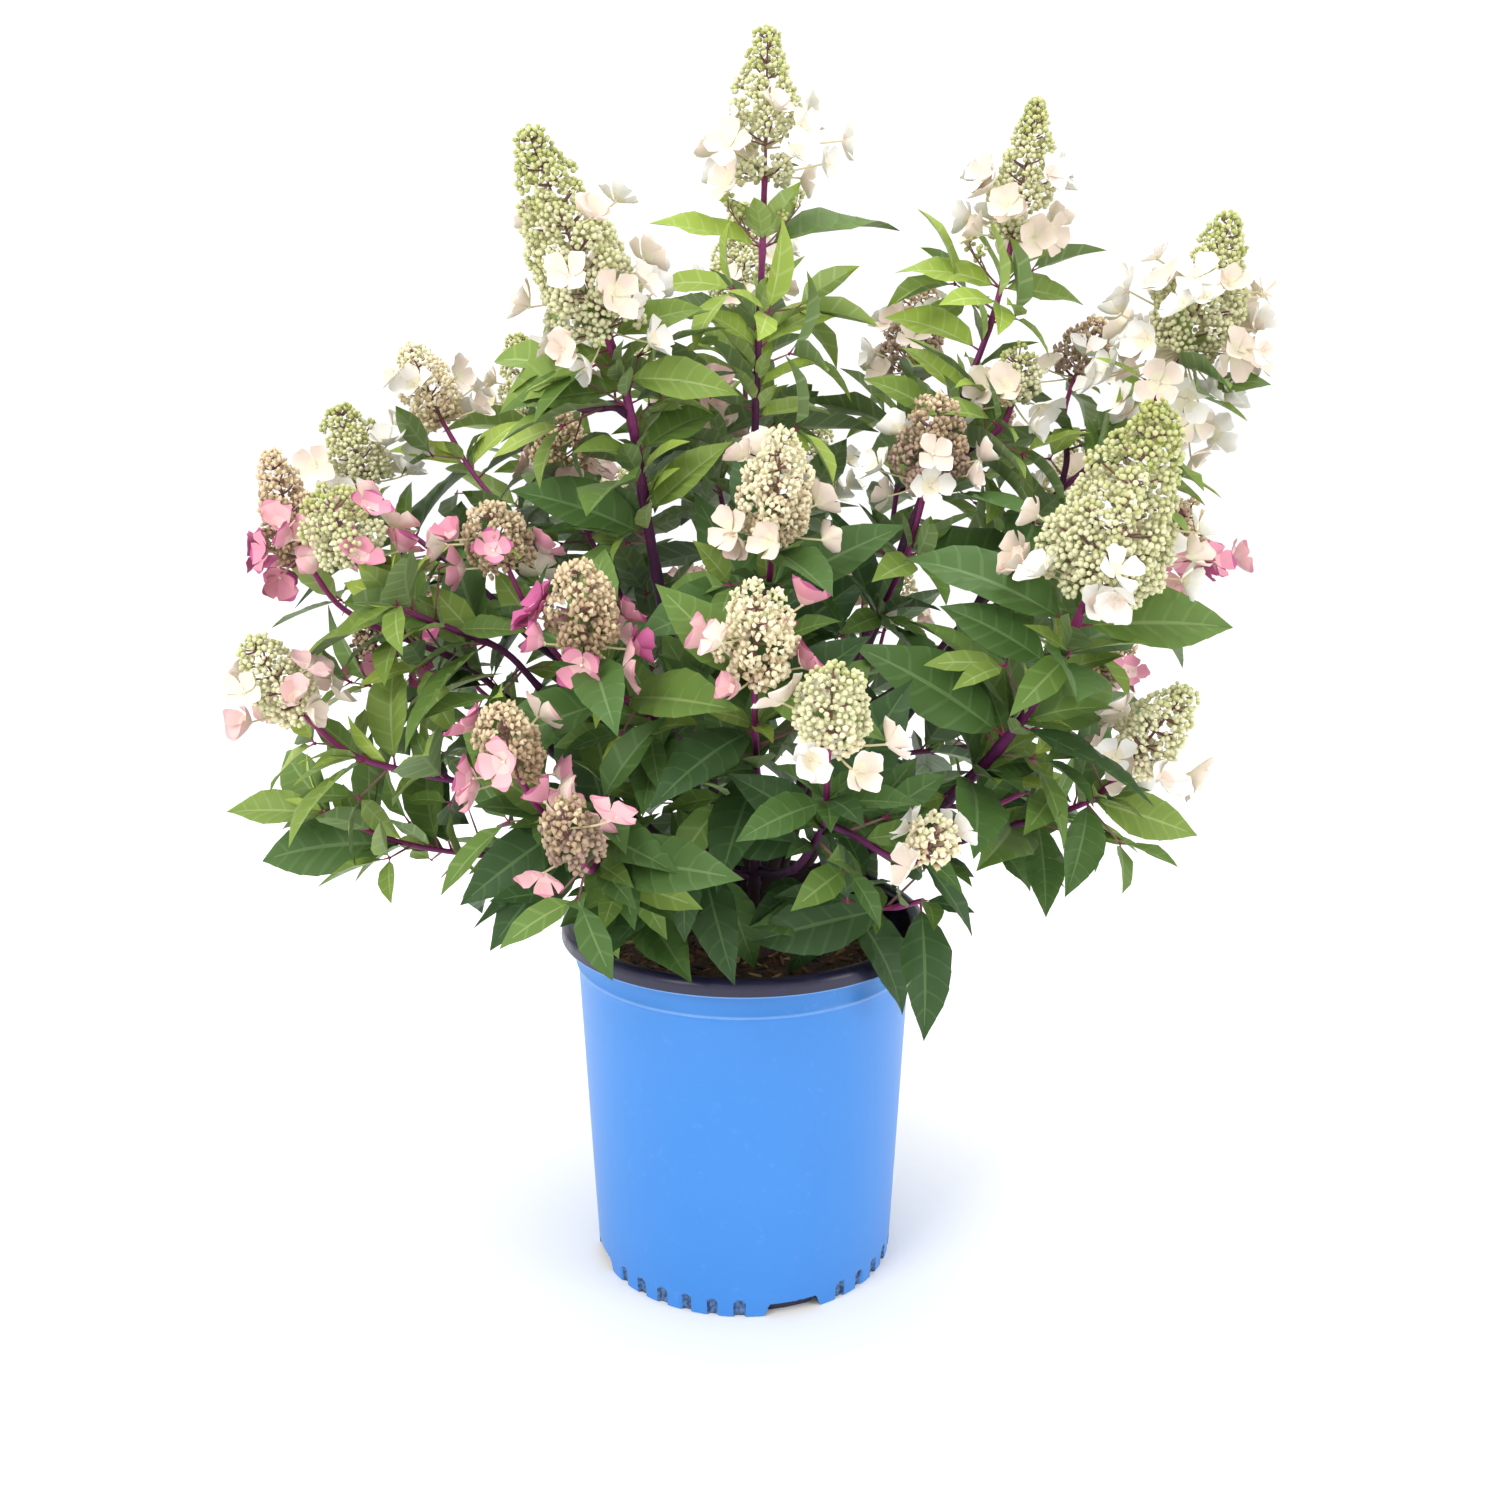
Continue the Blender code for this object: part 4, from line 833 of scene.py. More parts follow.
# Each shoot's name, its limb and how far along that it grows, the azimuth, reach and height of its tip, and
# its flower head's lean, length, half width, buds and sepals. Where the length is 0 there is no head.
SHOOTS = (
    ("mass_top", "cane_middle", 1.0, 149, 0.023, 0.644, 2, 0.078, 0.023, "spire", "white"),
    ("mass_top_back", "cane_middle", 0.72, -166, 0.082, 0.505, 14, 0.036, 0.014, "tan", "blush"),
    ("mass_centre", "cane_middle", 0.52, 9, 0.101, 0.459, 22, 0.058, 0.019, "cream", "blush"),
    ("mass_upper_left", "cane_upper_left", 1.0, -55, 0.088, 0.561, 24, 0.106, 0.028, "green", "white"),
    ("mass_centre_left", "cane_upper_left", 0.50, -61, 0.144, 0.439, 18, 0.036, 0.018, "tan", "pink"),
    ("mass_upper_right", "cane_upper_right", 1.0, 101, 0.156, 0.614, 9, 0.074, 0.019, "spire", "white"),
    ("mass_centre_right", "cane_upper_right", 0.60, 63, 0.111, 0.481, 8, 0.048, 0.019, "brown", "white"),
    ("mass_far_right", "cane_right", 1.0, 85, 0.241, 0.551, 17, 0.074, 0.025, "green", "white"),
    ("mass_right", "cane_right", 0.68, 90, 0.243, 0.434, 24, 0.038, 0.017, "tan", "rose"),
    ("mass_near_right", "cane_front_right", 1.0, 47, 0.229, 0.440, 20, 0.094, 0.031, "green", "white"),
    ("mass_right_low", "bough_right_low", 1.0, 58, 0.233, 0.342, 33, 0.054, 0.017, "pale", "white"),
    ("mass_front_high", "cane_front", 1.0, 2, 0.170, 0.401, 26, 0.050, 0.019, "cream", "pink"),
    ("mass_front", "bough_front", 1.0, 10, 0.224, 0.378, 12, 0.040, 0.018, "pale", "white"),
    ("mass_front_left_low", "cane_front_left", 1.0, -31, 0.209, 0.353, 20, 0.040, 0.016, "tan", "pink"),
    ("mass_front_left", "bough_front_left", 1.0, -25, 0.176, 0.413, 12, 0.042, 0.018, "tan", "rose"),
    ("mass_left_low", "cane_left_low", 1.0, -67, 0.252, 0.364, 30, 0.050, 0.017, "pale", "blush"),
    ("mass_left", "cane_left", 1.0, -78, 0.245, 0.442, 14, 0.058, 0.017, "tan", "rose"),
    ("mass_left_near", "bough_left", 1.0, -66, 0.221, 0.445, 20, 0.042, 0.019, "green", "pink"),
    ("mass_left_high", "cane_left_high", 1.0, -108, 0.191, 0.510, 25, 0.050, 0.017, "cream", "white"),
    ("mass_left_far", "bough_left_high", 1.0, -98, 0.222, 0.475, 23, 0.048, 0.017, "green", "white"),
    ("mass_left_inner", "cane_left_high", 0.60, -112, 0.115, 0.482, 12, 0.036, 0.018, "tan", "blush"),
    ("mass_back_right_high", "cane_back_right", 1.0, 144, 0.185, 0.538, 14, 0.060, 0.021, "brown", "white"),
    ("mass_back_right", "bough_back_right", 1.0, 122, 0.245, 0.445, 24, 0.058, 0.021, "pale", "white"),
    ("mass_back_right_low", "cane_back_right", 0.46, 112, 0.240, 0.345, 32, 0.046, 0.018, "tan", "pink"),
    ("mass_back_right_near", "cane_back_right", 0.56, 153, 0.222, 0.365, 28, 0.044, 0.018, "cream", "blush"),
    ("mass_back_high", "cane_back", 1.0, 180, 0.150, 0.575, 16, 0.072, 0.024, "green", "white"),
    ("mass_back", "cane_back", 0.66, 168, 0.215, 0.455, 24, 0.056, 0.020, "pale", "white"),
    ("mass_back_low", "cane_back", 0.42, -172, 0.232, 0.355, 30, 0.048, 0.019, "tan", "pink"),
    ("mass_back_left_high", "cane_back_left", 1.0, -138, 0.205, 0.505, 20, 0.060, 0.021, "green", "white"),
    ("mass_back_left", "cane_back_left", 0.70, -157, 0.222, 0.428, 26, 0.052, 0.020, "cream", "blush"),
    ("mass_back_left_low", "cane_back_left", 0.46, -121, 0.238, 0.370, 30, 0.046, 0.018, "tan", "rose"),
    ("mass_left_foot", "cane_left_low", 0.52, -78, 0.243, 0.297, 55, 0.0, 0.0, "", ""),
    ("mass_front_foot", "cane_front", 0.52, -15, 0.115, 0.300, 58, 0.0, 0.0, "", ""),
    ("mass_front_right_foot", "cane_front_right", 0.34, 36, 0.160, 0.272, 60, 0.0, 0.0, "", ""),
    ("mass_front_left_foot", "cane_front_left", 0.40, -46, 0.115, 0.262, 55, 0.0, 0.0, "", ""),
    ("mass_right_foot", "cane_right", 0.36, 80, 0.165, 0.302, 50, 0.0, 0.0, "", ""),
    ("mass_back_right_foot", "cane_back_right", 0.30, 150, 0.140, 0.270, 58, 0.0, 0.0, "", ""),
    ("mass_back_left_foot", "cane_back_left", 0.30, -160, 0.140, 0.270, 58, 0.0, 0.0, "", ""),
)
# The smaller second heads: the shoot, how far along it the head's own stem leaves, and the rest as above.
SIDE_PANICLES = (
    ("mass_upper_right", 0.22, 88, 0.151, 0.523, 6, 0.032, 0.013, "green", "white"),
    ("mass_far_right", 0.34, 107, 0.207, 0.535, 26, 0.038, 0.016, "brown", "white"),
    ("mass_front", 0.40, 24, 0.215, 0.318, 25, 0.024, 0.012, "cream", "white"),
    ("mass_front_left_low", 0.42, -20, 0.222, 0.322, 30, 0.034, 0.015, "brown", "rose"),
    ("mass_left_low", 0.40, -84, 0.206, 0.375, 25, 0.028, 0.014, "brown", "rose"),
    ("mass_upper_left", 0.66, -82, 0.098, 0.525, 34, 0.030, 0.013, "green", "white"),
    ("mass_back_high", 0.50, -158, 0.150, 0.525, 30, 0.034, 0.015, "green", "white"),
    ("mass_back_right_high", 0.50, 128, 0.195, 0.500, 30, 0.032, 0.014, "tan", "blush"),
)
# Leaves that the photograph shows: how far along the shoot each stands, its azimuth, rise and length.
SHOWN_LEAVES = {
    "mass_top": (
        (0.77, -84, 19, 0.065),
        (0.77, 107, 23, 0.091),
        (0.53, 39, 51, 0.049),
        (0.43, 121, 39, 0.077),
        (0.43, -82, 47, 0.041),
        (0.34, -142, 32, 0.072),
        (0.30, 74, 32, 0.044),
        (0.20, 120, 17, 0.059),
    ),
    "mass_upper_left": (
        (0.75, -74, 0, 0.070),
        (0.92, -112, -8, 0.079),
        (0.80, 81, 4, 0.066),
        (0.96, 112, 33, 0.054),
        (0.15, -73, 29, 0.082),
        (0.25, 82, 44, 0.062),
        (0.48, -41, 22, 0.043),
        (0.50, 129, 31, 0.068),
    ),
    "mass_centre_left": ((0.03, -4, -55, 0.051),),
    "mass_upper_right": (
        (0.83, -79, 24, 0.062),
        (0.83, 100, 0, 0.056),
        (0.62, -117, 31, 0.067),
        (0.45, -139, 47, 0.060),
        (0.36, -75, 40, 0.058),
    ),
    "mass_near_right": (
        (0.85, 91, 5, 0.086),
        (0.35, -76, 40, 0.095),
        (0.35, -148, 62, 0.073),
        (0.85, -105, 32, 0.100),
        (0.68, -89, 39, 0.066),
        (0.40, 116, 19, 0.084),
        (0.20, 118, -1, 0.046),
        (0.02, -63, -5, 0.066),
    ),
    "mass_right_low": (
        (0.70, 87, -14, 0.065),
        (0.70, -15, -43, 0.055),
        (0.35, 5, -44, 0.056),
        (0.03, 73, 27, 0.056),
        (0.03, 57, -37, 0.042),
    ),
    "mass_front": (
        (0.25, -69, 37, 0.057),
        (0.15, 80, 28, 0.068),
        (0.02, -83, 12, 0.062),
    ),
    "mass_front_left_low": (
        (0.60, -59, -23, 0.070),
        (0.45, -53, -32, 0.085),
        (0.28, -27, -51, 0.058),
    ),
    "mass_left_low": ((0.60, -156, 64, 0.068),),
    "mass_left_near": (
        (0.53, -84, 20, 0.056),
        (0.48, 77, 7, 0.041),
    ),
    "mass_left_high": (
        (0.78, -94, 16, 0.053),
        (0.76, 93, 56, 0.042),
    ),
    "mass_left_foot": (
        (0.98, -92, 6, 0.067),
        (0.70, -86, 5, 0.103),
        (0.96, -119, 35, 0.070),
        (0.84, -10, 84, 0.059),
        (0.62, -142, 60, 0.075),
    ),
    "mass_front_foot": (
        (0.98, -7, -55, 0.057),
        (0.70, 19, -47, 0.076),
        (0.35, 45, -64, 0.065),
    ),
    "mass_front_right_foot": (
        (0.98, 4, -49, 0.073),
        (0.55, -73, -4, 0.066),
        (0.25, -58, -56, 0.055),
        (0.45, -62, -62, 0.042),
        (0.78, -92, 9, 0.087),
    ),
    "mass_front_left_foot": (
        (0.95, 23, -64, 0.043),
        (0.45, 10, -76, 0.040),
    ),
}
# Leaves of the rule that a shoot has lost, as numbers counted from its tip.
LOST_LEAVES = {
    "mass_top": (3, 4, 5, 7),
    "mass_upper_right": (3, 4, 5),
    "mass_far_right": (2, 3, 4, 9, 11),
    "mass_right": (1, 8),
    "mass_right_low": (4, 6),
    "mass_front": (5, 10),
    "mass_front_left_low": (10,),
    "mass_left_low": (5, 7),
    "mass_left": (2, 3),
    "mass_left_high": (3,),
    "mass_left_far": (2,),
    "mass_back_high": (1,),
    "mass_back": (7,),
    "mass_left_foot": (3, 5, 10),
    "mass_front_right_foot": (3, 4),
    "mass_right_foot": (4,),
}
LEAF_LENGTH = 0.088
LEAF_VARIES = 0.10
SOLID_HALF_WIDTH = 0.26
LEAF_WIDEST = 0.44
LEAF_THICKNESS = 0.0015
LEAF_ROOT = 0.0010
LEAF_FOLD = 0.20
LEAF_ARCH = 0.15
LEAF_LIFT = 0.45
LEAF_FACING = 0.75
LEAF_STEM_PULL = 0.3
FACING_FRONT = Vector((0.0, -1.1, 0.1))
LEAF_SPREAD = 62.0
LEAF_NOD = 8.0
LEAF_SAG = 0.12
LEAF_SAG_STEP = 0.03
FIRST_NODE = 0.010
LEAFY_TIP_NODE = 0.002
FIRST_INTERNODE = 0.031
INTERNODE = 0.043
NODE_CLEAR = 0.012
NODE_TURN = 90.0
NODE_JITTER = 14.0
TOP_LEAF = 0.80
LEAF_STEP = 0.12
PANICLE_SIDES = 6
PANICLE_PROFILE = ((0.0, 0.45), (0.24, 1.0), (0.64, 0.62))
PANICLE_LUMPS = 0.14
PANICLE_SUNK = 0.004
FLORET_RADIUS = 0.0135
FLORET_THICKNESS = 0.0016
FLORET_STAND_OFF = 0.0080
FLORET_SUNK = 1.5
FLORET_FREE = 0.2
FLORETS_PER_LENGTH = 46.0
FLORET_TURN = 137.5
FLORET_STRAY = 25.0
FLORET_LOWEST = 0.06
FLORET_BAND = 0.50
FLORET_DROOP = (13.0, 36.0)
FLORET_SEAT = 0.80
FIRST_SEED = 100
SIDE_SEED = 50
LEAF_SEED = 700
CLEARANCE = 0.0006
LEAF_FREE = 0.30
# The ways of holding a leaf that are tried for room: its turn round the stem, its opening and its size.
LEAF_TRIES = (
    (0, 0, 1.0),
    (24, 0, 1.0),
    (-24, 0, 1.0),
    (0, -16, 0.92),
    (40, 10, 0.9),
    (-40, 10, 0.9),
    (0, 18, 0.85),
    (20, -20, 0.75),
    (-20, -20, 0.75),
)


def room_tube(points, radius, tip_radius, sides, seat=None):
    """The room that a limb takes; seat is the direction that its first end faces."""
    ways = ways_along(points)
    if seat is not None:
        ways[0] = seat.normalized()
    side = across(ways[0])
    verts, faces = [], []
    for index, (point, way) in enumerate(zip(points, ways)):
        side = across(way, side)
        ring_radius = radius + (tip_radius - radius) * index / (len(points) - 1)
        for step in range(sides):
            verts.append(point + turned_about(way, 2 * math.pi * step / sides, side) * ring_radius)
    for index in range(len(points) - 1):
        for step in range(sides):
            a = index * sides + step
            b = index * sides + (step + 1) % sides
            faces.append((a, b, b + sides, a + sides))
    faces.append(tuple(reversed(range(sides))))
    faces.append(tuple(range(len(verts) - sides, len(verts))))
    return verts, faces


def room_lens(corners, middle, thick):
    """A flat shape of eight faces: four corners round a middle that has some thickness."""
    faces = []
    for index in range(4):
        after = (index + 1) % 4
        faces += [(index, after, 4), (index, 5, after)]
    return [*corners, middle + thick, middle - thick], faces


def room_leaf(root, axis, normal, length, grown, start=0.0):
    """The room that a leaf takes from start to its tip, folded along its midrib and arched."""
    side = axis.cross(normal)
    half = SOLID_HALF_WIDTH * length

    def at(along, out):
        width = half * out
        lift = LEAF_FOLD * abs(width) - LEAF_ARCH * length * along**2
        return root + axis * (along * length) + side * width + normal * lift

    foot = root - axis * LEAF_ROOT if start == 0.0 else at(start, 0.0)
    wide = 1.0 + grown / half
    rim = [foot, at(LEAF_WIDEST, wide), at(1.0, 0.0), at(LEAF_WIDEST, -wide)]
    return room_lens(rim, at(LEAF_WIDEST, 0.0), normal * (LEAF_THICKNESS / 2 + grown))


def room_panicle(foot, way, length, half_width, seed, grown):
    """The room that a flower head takes, a lumpy cone."""
    rng = random.Random(seed)
    side = across(way)
    verts = [foot - way * PANICLE_SUNK]
    for along, wide in PANICLE_PROFILE:
        for step in range(PANICLE_SIDES):
            out = half_width * wide * (1 + PANICLE_LUMPS * rng.uniform(-1, 1)) + grown
            spoke = turned_about(way, 2 * math.pi * step / PANICLE_SIDES, side)
            verts.append(foot + way * (along * length) + spoke * out)
    verts.append(foot + way * length)
    tip = len(verts) - 1
    faces = []
    for step in range(PANICLE_SIDES):
        after = (step + 1) % PANICLE_SIDES
        faces.append((0, 1 + after, 1 + step))
        last_ring = tip - PANICLE_SIDES
        faces.append((tip, last_ring + step, last_ring + after))
        for ring in range(len(PANICLE_PROFILE) - 1):
            a = 1 + ring * PANICLE_SIDES + step
            b = 1 + ring * PANICLE_SIDES + after
            faces.append((a, b, b + PANICLE_SIDES, a + PANICLE_SIDES))
    return verts, faces


def room_floret(centre, inward, normal, grown, sunk=FLORET_SUNK):
    """The room that a sterile floret takes, down to its seat in the flower head."""
    side = inward.cross(normal)
    radius = FLORET_RADIUS + grown
    rim = [centre + inward * (radius * sunk), centre + side * radius]
    rim += [centre - inward * radius, centre - side * radius]
    return room_lens(rim, centre, normal * (FLORET_THICKNESS / 2 + grown))


class Room:
    """What already stands, each piece with its owner, so that a new piece can be tried for room."""

    def __init__(self):
        self.pieces = []

    @staticmethod
    def bounds(verts):
        low = Vector([min(v[axis] for v in verts) for axis in range(3)])
        high = Vector([max(v[axis] for v in verts) for axis in range(3)])
        return low, high

    def add(self, owner, shape):
        self.pieces.append((owner, BVHTree.FromPolygons(*shape), *self.bounds(shape[0])))

    def is_clear(self, owner, whole, free_part):
        """True if whole touches nobody else's pieces and free_part touches none of the owner's own."""
        trees = {True: None, False: None}
        low, high = self.bounds(whole[0])
        for other, tree, other_low, other_high in self.pieces:
            if any(low[i] > other_high[i] or high[i] < other_low[i] for i in range(3)):
                continue
            own = other == owner
            if trees[own] is None:
                trees[own] = BVHTree.FromPolygons(*(free_part if own else whole))
            if trees[own].overlap(tree):
                return False
        return True


def floret_frames(foot, way, length, half_width, seed):
    """Centre, inward direction and facing of each sterile floret round a flower head."""
    rng = random.Random(seed)
    side = across(way)
    frames = []
    count = max(2, round(length * FLORETS_PER_LENGTH))
    for index in range(count):
        turn = math.radians(FLORET_TURN * index + rng.uniform(-FLORET_STRAY, FLORET_STRAY))
        spoke = turned_about(way, turn, side)
        along = length * (FLORET_LOWEST + FLORET_BAND * index / count)
        out = turned_out(spoke, -way, rng.uniform(*FLORET_DROOP))
        centre = foot + way * along + out * (half_width * FLORET_SEAT + FLORET_STAND_OFF)
        frames.append((centre, -out, across(out, way + spoke * 0.5)))
    return frames


def leaf_frames(points, rng, leafy_tip):
    """Level, root, stem direction, sideways direction and length of each leaf, from the shoot's tip down."""
    length = curve_length(points)
    from_tip = LEAFY_TIP_NODE if leafy_tip else FIRST_NODE
    turn = rng.uniform(0, 360)
    level = 0
    frames = []
    while from_tip < length - NODE_CLEAR:
        point, way = point_along(points, 1 - from_tip / length)
        grown = min(1.0, TOP_LEAF + LEAF_STEP * level)
        for half in (0, 180):
            angle = math.radians(turn + half + rng.uniform(-NODE_JITTER, NODE_JITTER))
            sideways = turned_about(way, angle, across(way))
            size = LEAF_LENGTH * grown * rng.uniform(1 - LEAF_VARIES, 1 + LEAF_VARIES)
            frames.append((level, point, way, sideways, size))
        from_tip += FIRST_INTERNODE if level == 0 else INTERNODE
        turn += NODE_TURN
        level += 1
    return frames


def leaf_axes(root, way, sideways, spread, sag, twist, lift):
    """A leaf's axis and the direction its upper face looks, after it sags and turns to the light."""
    axis = turned_out(way, Matrix.Rotation(math.radians(twist), 3, way) @ sideways, spread)
    axis.z -= sag
    if axis.z < 0:
        axis.z *= lift
    axis.normalize()
    outward = Vector((root.x, root.y, 0.0)).normalized()
    light = Vector((0.0, 0.0, 1.0)) + way * LEAF_STEM_PULL + outward * LEAF_FACING
    return axis, across(axis, light)


def try_leaf(room, owner, root, way, sideways, length, spread, sag, lift=LEAF_LIFT):
    """The first way of holding the leaf that has room, or None."""
    for twist, opening, size in LEAF_TRIES:
        axis, normal = leaf_axes(root, way, sideways, spread + opening, sag, twist, lift)
        whole = room_leaf(root, axis, normal, length * size, CLEARANCE)
        free_part = room_leaf(root, axis, normal, length * size, CLEARANCE, LEAF_FREE)
        if room.is_clear(owner, whole, free_part):
            room.add(owner, whole)
            return root, axis, normal, length * size, way
    return None


def stem_radii(name):
    """A shoot's radii at its foot and tip."""
    stout = STOUT_STEMS.get(name, 1.0)
    return STEM_RADIUS * stout, STEM_TIP_RADIUS * stout


room = Room()
for base in ("pot", "potting_soil", "root_crown"):
    room.add("wood", shape_of(cad[base]))
for limb in limbs.values():
    swollen = [radius + CLEARANCE for radius in limb["radii"]]
    room.add("wood", room_tube(limb["points"], *swollen, SOLID_LIMB_SIDES, limb["seat"]))
masses = {}
for index, shoot in enumerate(SHOOTS):
    name, limb_name, fraction, azimuth, reach, height, lean, length, half_width, buds, sepals = shoot
    end = place(azimuth, reach, height)
    limb = limbs[limb_name]
    if fraction == 1.0:
        start_way = ways_along(limb["points"])[-1]
        start = limb["points"][-1] + start_way * GAP
        foot = start - start_way * STEM_SUNK
    else:
        start, start_way, seat = side_start(limb, fraction, end)
        foot = start - seat * SIDE_SUNK
    way = leaning(azimuth, lean)
    points = curve_between(start, start_way, end, way, STEM_STRETCHES)
    mass = {"stems": [points], "feet": [foot], "heads": [], "florets": [], "leaves": []}
    mass["seed"] = FIRST_SEED + index
    if length > 0:
        mass["heads"].append((end, way, length, half_width, mass["seed"], buds, sepals))
    masses[name] = mass
for owner, fraction, azimuth, reach, height, lean, length, half_width, buds, sepals in SIDE_PANICLES:
    mass = masses[owner]
    end = place(azimuth, reach, height)
    start, way = point_along(mass["stems"][0], fraction)
    start_way = turned_out(way, across(way, end - start), MASS_TWIG_ANGLE)
    tip_way = leaning(azimuth, lean)
    mass["stems"].append(curve_between(start, start_way, end, tip_way, STEM_STRETCHES))
    mass["feet"].append(start)
    mass["heads"].append((end, tip_way, length, half_width, mass["seed"] + SIDE_SEED, buds, sepals))
for name, mass in masses.items():
    swollen = [radius + CLEARANCE for radius in stem_radii(name)]
    for points in mass["stems"]:
        room.add(name, room_tube(points, *swollen, SOLID_STEM_SIDES))
    for head in mass["heads"]:
        room.add(name, room_panicle(*head[:5], CLEARANCE))
for name, mass in masses.items():
    for head in mass["heads"]:
        for centre, inward, normal in floret_frames(*head[:5]):
            whole = room_floret(centre, inward, normal, CLEARANCE)
            if room.is_clear(name, whole, room_floret(centre, inward, normal, CLEARANCE, FLORET_FREE)):
                room.add(name, whole)
                mass["florets"].append((centre, inward, normal, head))
for name, rows in SHOWN_LEAVES.items():
    for fraction, azimuth, rise, length in rows:
        root, way = point_along(masses[name]["stems"][0], fraction)
        axis = leaning(azimuth, 90 - rise)
        spread = math.degrees(way.angle(axis))
        placed = try_leaf(room, name, root, way, across(way, axis), length, spread, 0.0, 1.0)
        if placed:
            root, axis, normal, length, way = placed
            masses[name]["leaves"].append((root, axis, across(axis, normal + FACING_FRONT), length, way))
waiting = []
for name, mass in masses.items():
    lost = LOST_LEAVES.get(name, ())
    number = 0
    for stem_index, points in enumerate(mass["stems"]):
        rng = random.Random(mass["seed"] + LEAF_SEED * (stem_index + 1))
        for level, *leaf_frame in leaf_frames(points, rng, not mass["heads"]):
            spread = LEAF_SPREAD + rng.uniform(-LEAF_NOD, LEAF_NOD)
            number += 1
            if number in lost or level == 0 and name in SHOWN_LEAVES:
                continue
            waiting.append((level + stem_index, name, leaf_frame, spread))
waiting.sort(key=lambda entry: entry[0])
for level, name, leaf_frame, spread in waiting:
    placed = try_leaf(room, name, *leaf_frame, spread, LEAF_SAG + LEAF_SAG_STEP * level)
    if placed:
        masses[name]["leaves"].append(placed)
stem_pattern = tube_pattern(STEM_SIDES, STEM_RINGS)
stems = Joined()
for name, mass in masses.items():
    for points, foot in zip(mass["stems"], mass["feet"]):
        add_limb(stems, stem_pattern, STEM_RINGS, [foot, *points[1:]], stem_radii(name), STEM_AGES)
shoot_stems = stems.piece("shoot_stems", [wood_finish("shoot_skin", 260.0)], 60)
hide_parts(*masses)


# Flower heads. Panicles of pea-like buds in tight domed clusters, which stand in rings of short side branches
# round a purple axis. They are green or cream while closed, and tan to brown once the small fertile flowers
# have opened and faded. Two small sprays stand in the leaf axils under each of the tall slender heads.
BUD_TONES = {
    "bud_lime": (0.420, 0.450, 0.150),
    "bud_green": (0.540, 0.550, 0.270),
    "bud_pale": (0.660, 0.650, 0.410),
    "bud_cream": (0.850, 0.770, 0.550),
    "bud_straw": (0.650, 0.525, 0.345),
    "bud_tan": (0.430, 0.315, 0.195),
    "bud_brown": (0.370, 0.275, 0.195),
    "bud_rose": (0.440, 0.295, 0.235),
}
# Each kind of head: its tones from the tip down, as places in BUD_TONES, and its share of opened flowers.
BUD_FAMILIES = {
    "spire": (0, 1, 2, 2),
    "green": (0, 1, 2, 2),
    "pale": (1, 2, 2, 3),
    "cream": (2, 3, 3, 4),
    "tan": (4, 4, 5, 5),
    "brown": (4, 5, 6, 7),
}
OPEN_SHARE = {"spire": 0.0, "green": 0.0, "pale": 0.0, "cream": 0.7, "tan": 0.85, "brown": 0.6}
# From where to where along it a head's axis is bare, above its lowest branches.
BARE_AXIS = {"spire": (0.09, 0.24)}
HEAD_SEED = 9000
SPRAY_SEED = 77
BACK_FROM = 0.03
BUD_RADIUS = 0.00168
BUD_LONG = 1.12
OPEN_POINTS = (1.45, 0.72, 0.95)
BUD_VARIES = (0.80, 1.15)
BUD_DEPTHS = (0.80, 1.02)
BUD_SHRINK = 0.18
BUD_FORWARD = Vector((1.0, 0.3, 0.1))
CAP_STRAY = 0.25
RIPE_STRAY = 0.8
RING_STEP = 1.40
CLUSTER_SHARE = 0.40
CLUSTER_LARGEST = 0.0080
CLUSTER_LEAST = 0.0033
CLUSTER_OPENING = 98
CLUSTER_VARIES = (0.76, 1.14)
CLUSTER_REACH = (0.84, 1.12)
CLUSTER_STRAY = 0.2
CLUSTER_TURN = 0.16
CLUSTER_UP = 14
CLUSTER_UP_MORE = 56
TIP_CLUSTER = 0.003
BUDS_PER_AREA = 1.45
AXIS_RADIUS = 0.0013
AXIS_SUNK = 0.002
AXIS_END = 0.96
AXIS_TIP_RADIUS = 0.0004
BRANCH_RADIUS = 0.0006
BRANCH_SAG = 0.0006
GOLDEN_TURN = math.radians(137.5)
# Half widths at places along a head, as shares of its widest: slim from TALL_HEAD up, plump under ROUND_HEAD.
TALL_HEAD = 0.070
ROUND_HEAD = 0.045
TALL_WIDTHS = (0.62, 0.92, 1.0, 0.86, 0.66, 0.42, 0.20)
ROUND_WIDTHS = (0.58, 0.86, 1.0, 0.99, 0.88, 0.62, 0.28)
WIDTH_PLACES = (0.0, 0.10, 0.24, 0.45, 0.64, 0.85, 1.0)
SPRAY_LEAN = 42
SPRAY_RADII = (0.0008, 0.0007, 0.0006, 0.0004)
SPRAY_SAG = 0.001
SPRAY_TWIG = 0.0005
SPRAY_FORKS = 4
SPRAY_CLUSTER = 0.0029
# Each spray's shoot, how far along that it stands, its azimuth and its length.
SPRAYS = (
    ("mass_top", 0.765, -80, 0.030),
    ("mass_top", 0.765, 88, 0.032),
    ("mass_upper_right", 0.83, -76, 0.030),
    ("mass_upper_right", 0.83, 84, 0.028),
)


def bud_pattern(opened):
    """A bud is a small ball; an opened flower is one with its points drawn out."""
    bm = bmesh.new()
    bmesh.ops.create_icosphere(bm, subdivisions=1, radius=1.0)
    for index, vert in enumerate(bm.verts):
        if opened:
            vert.co *= OPEN_POINTS[index % 3]
        else:
            vert.co.z *= BUD_LONG
    return Pattern(bm)


def head_width(along, length):
    """A flower head's half width at a share of its length, as a share of its widest."""
    tall = soft_step((length - ROUND_HEAD) / (TALL_HEAD - ROUND_HEAD))
    slim = float(np.interp(along, WIDTH_PLACES, TALL_WIDTHS))
    plump = float(np.interp(along, WIDTH_PLACES, ROUND_WIDTHS))
    return plump + (slim - plump) * tall


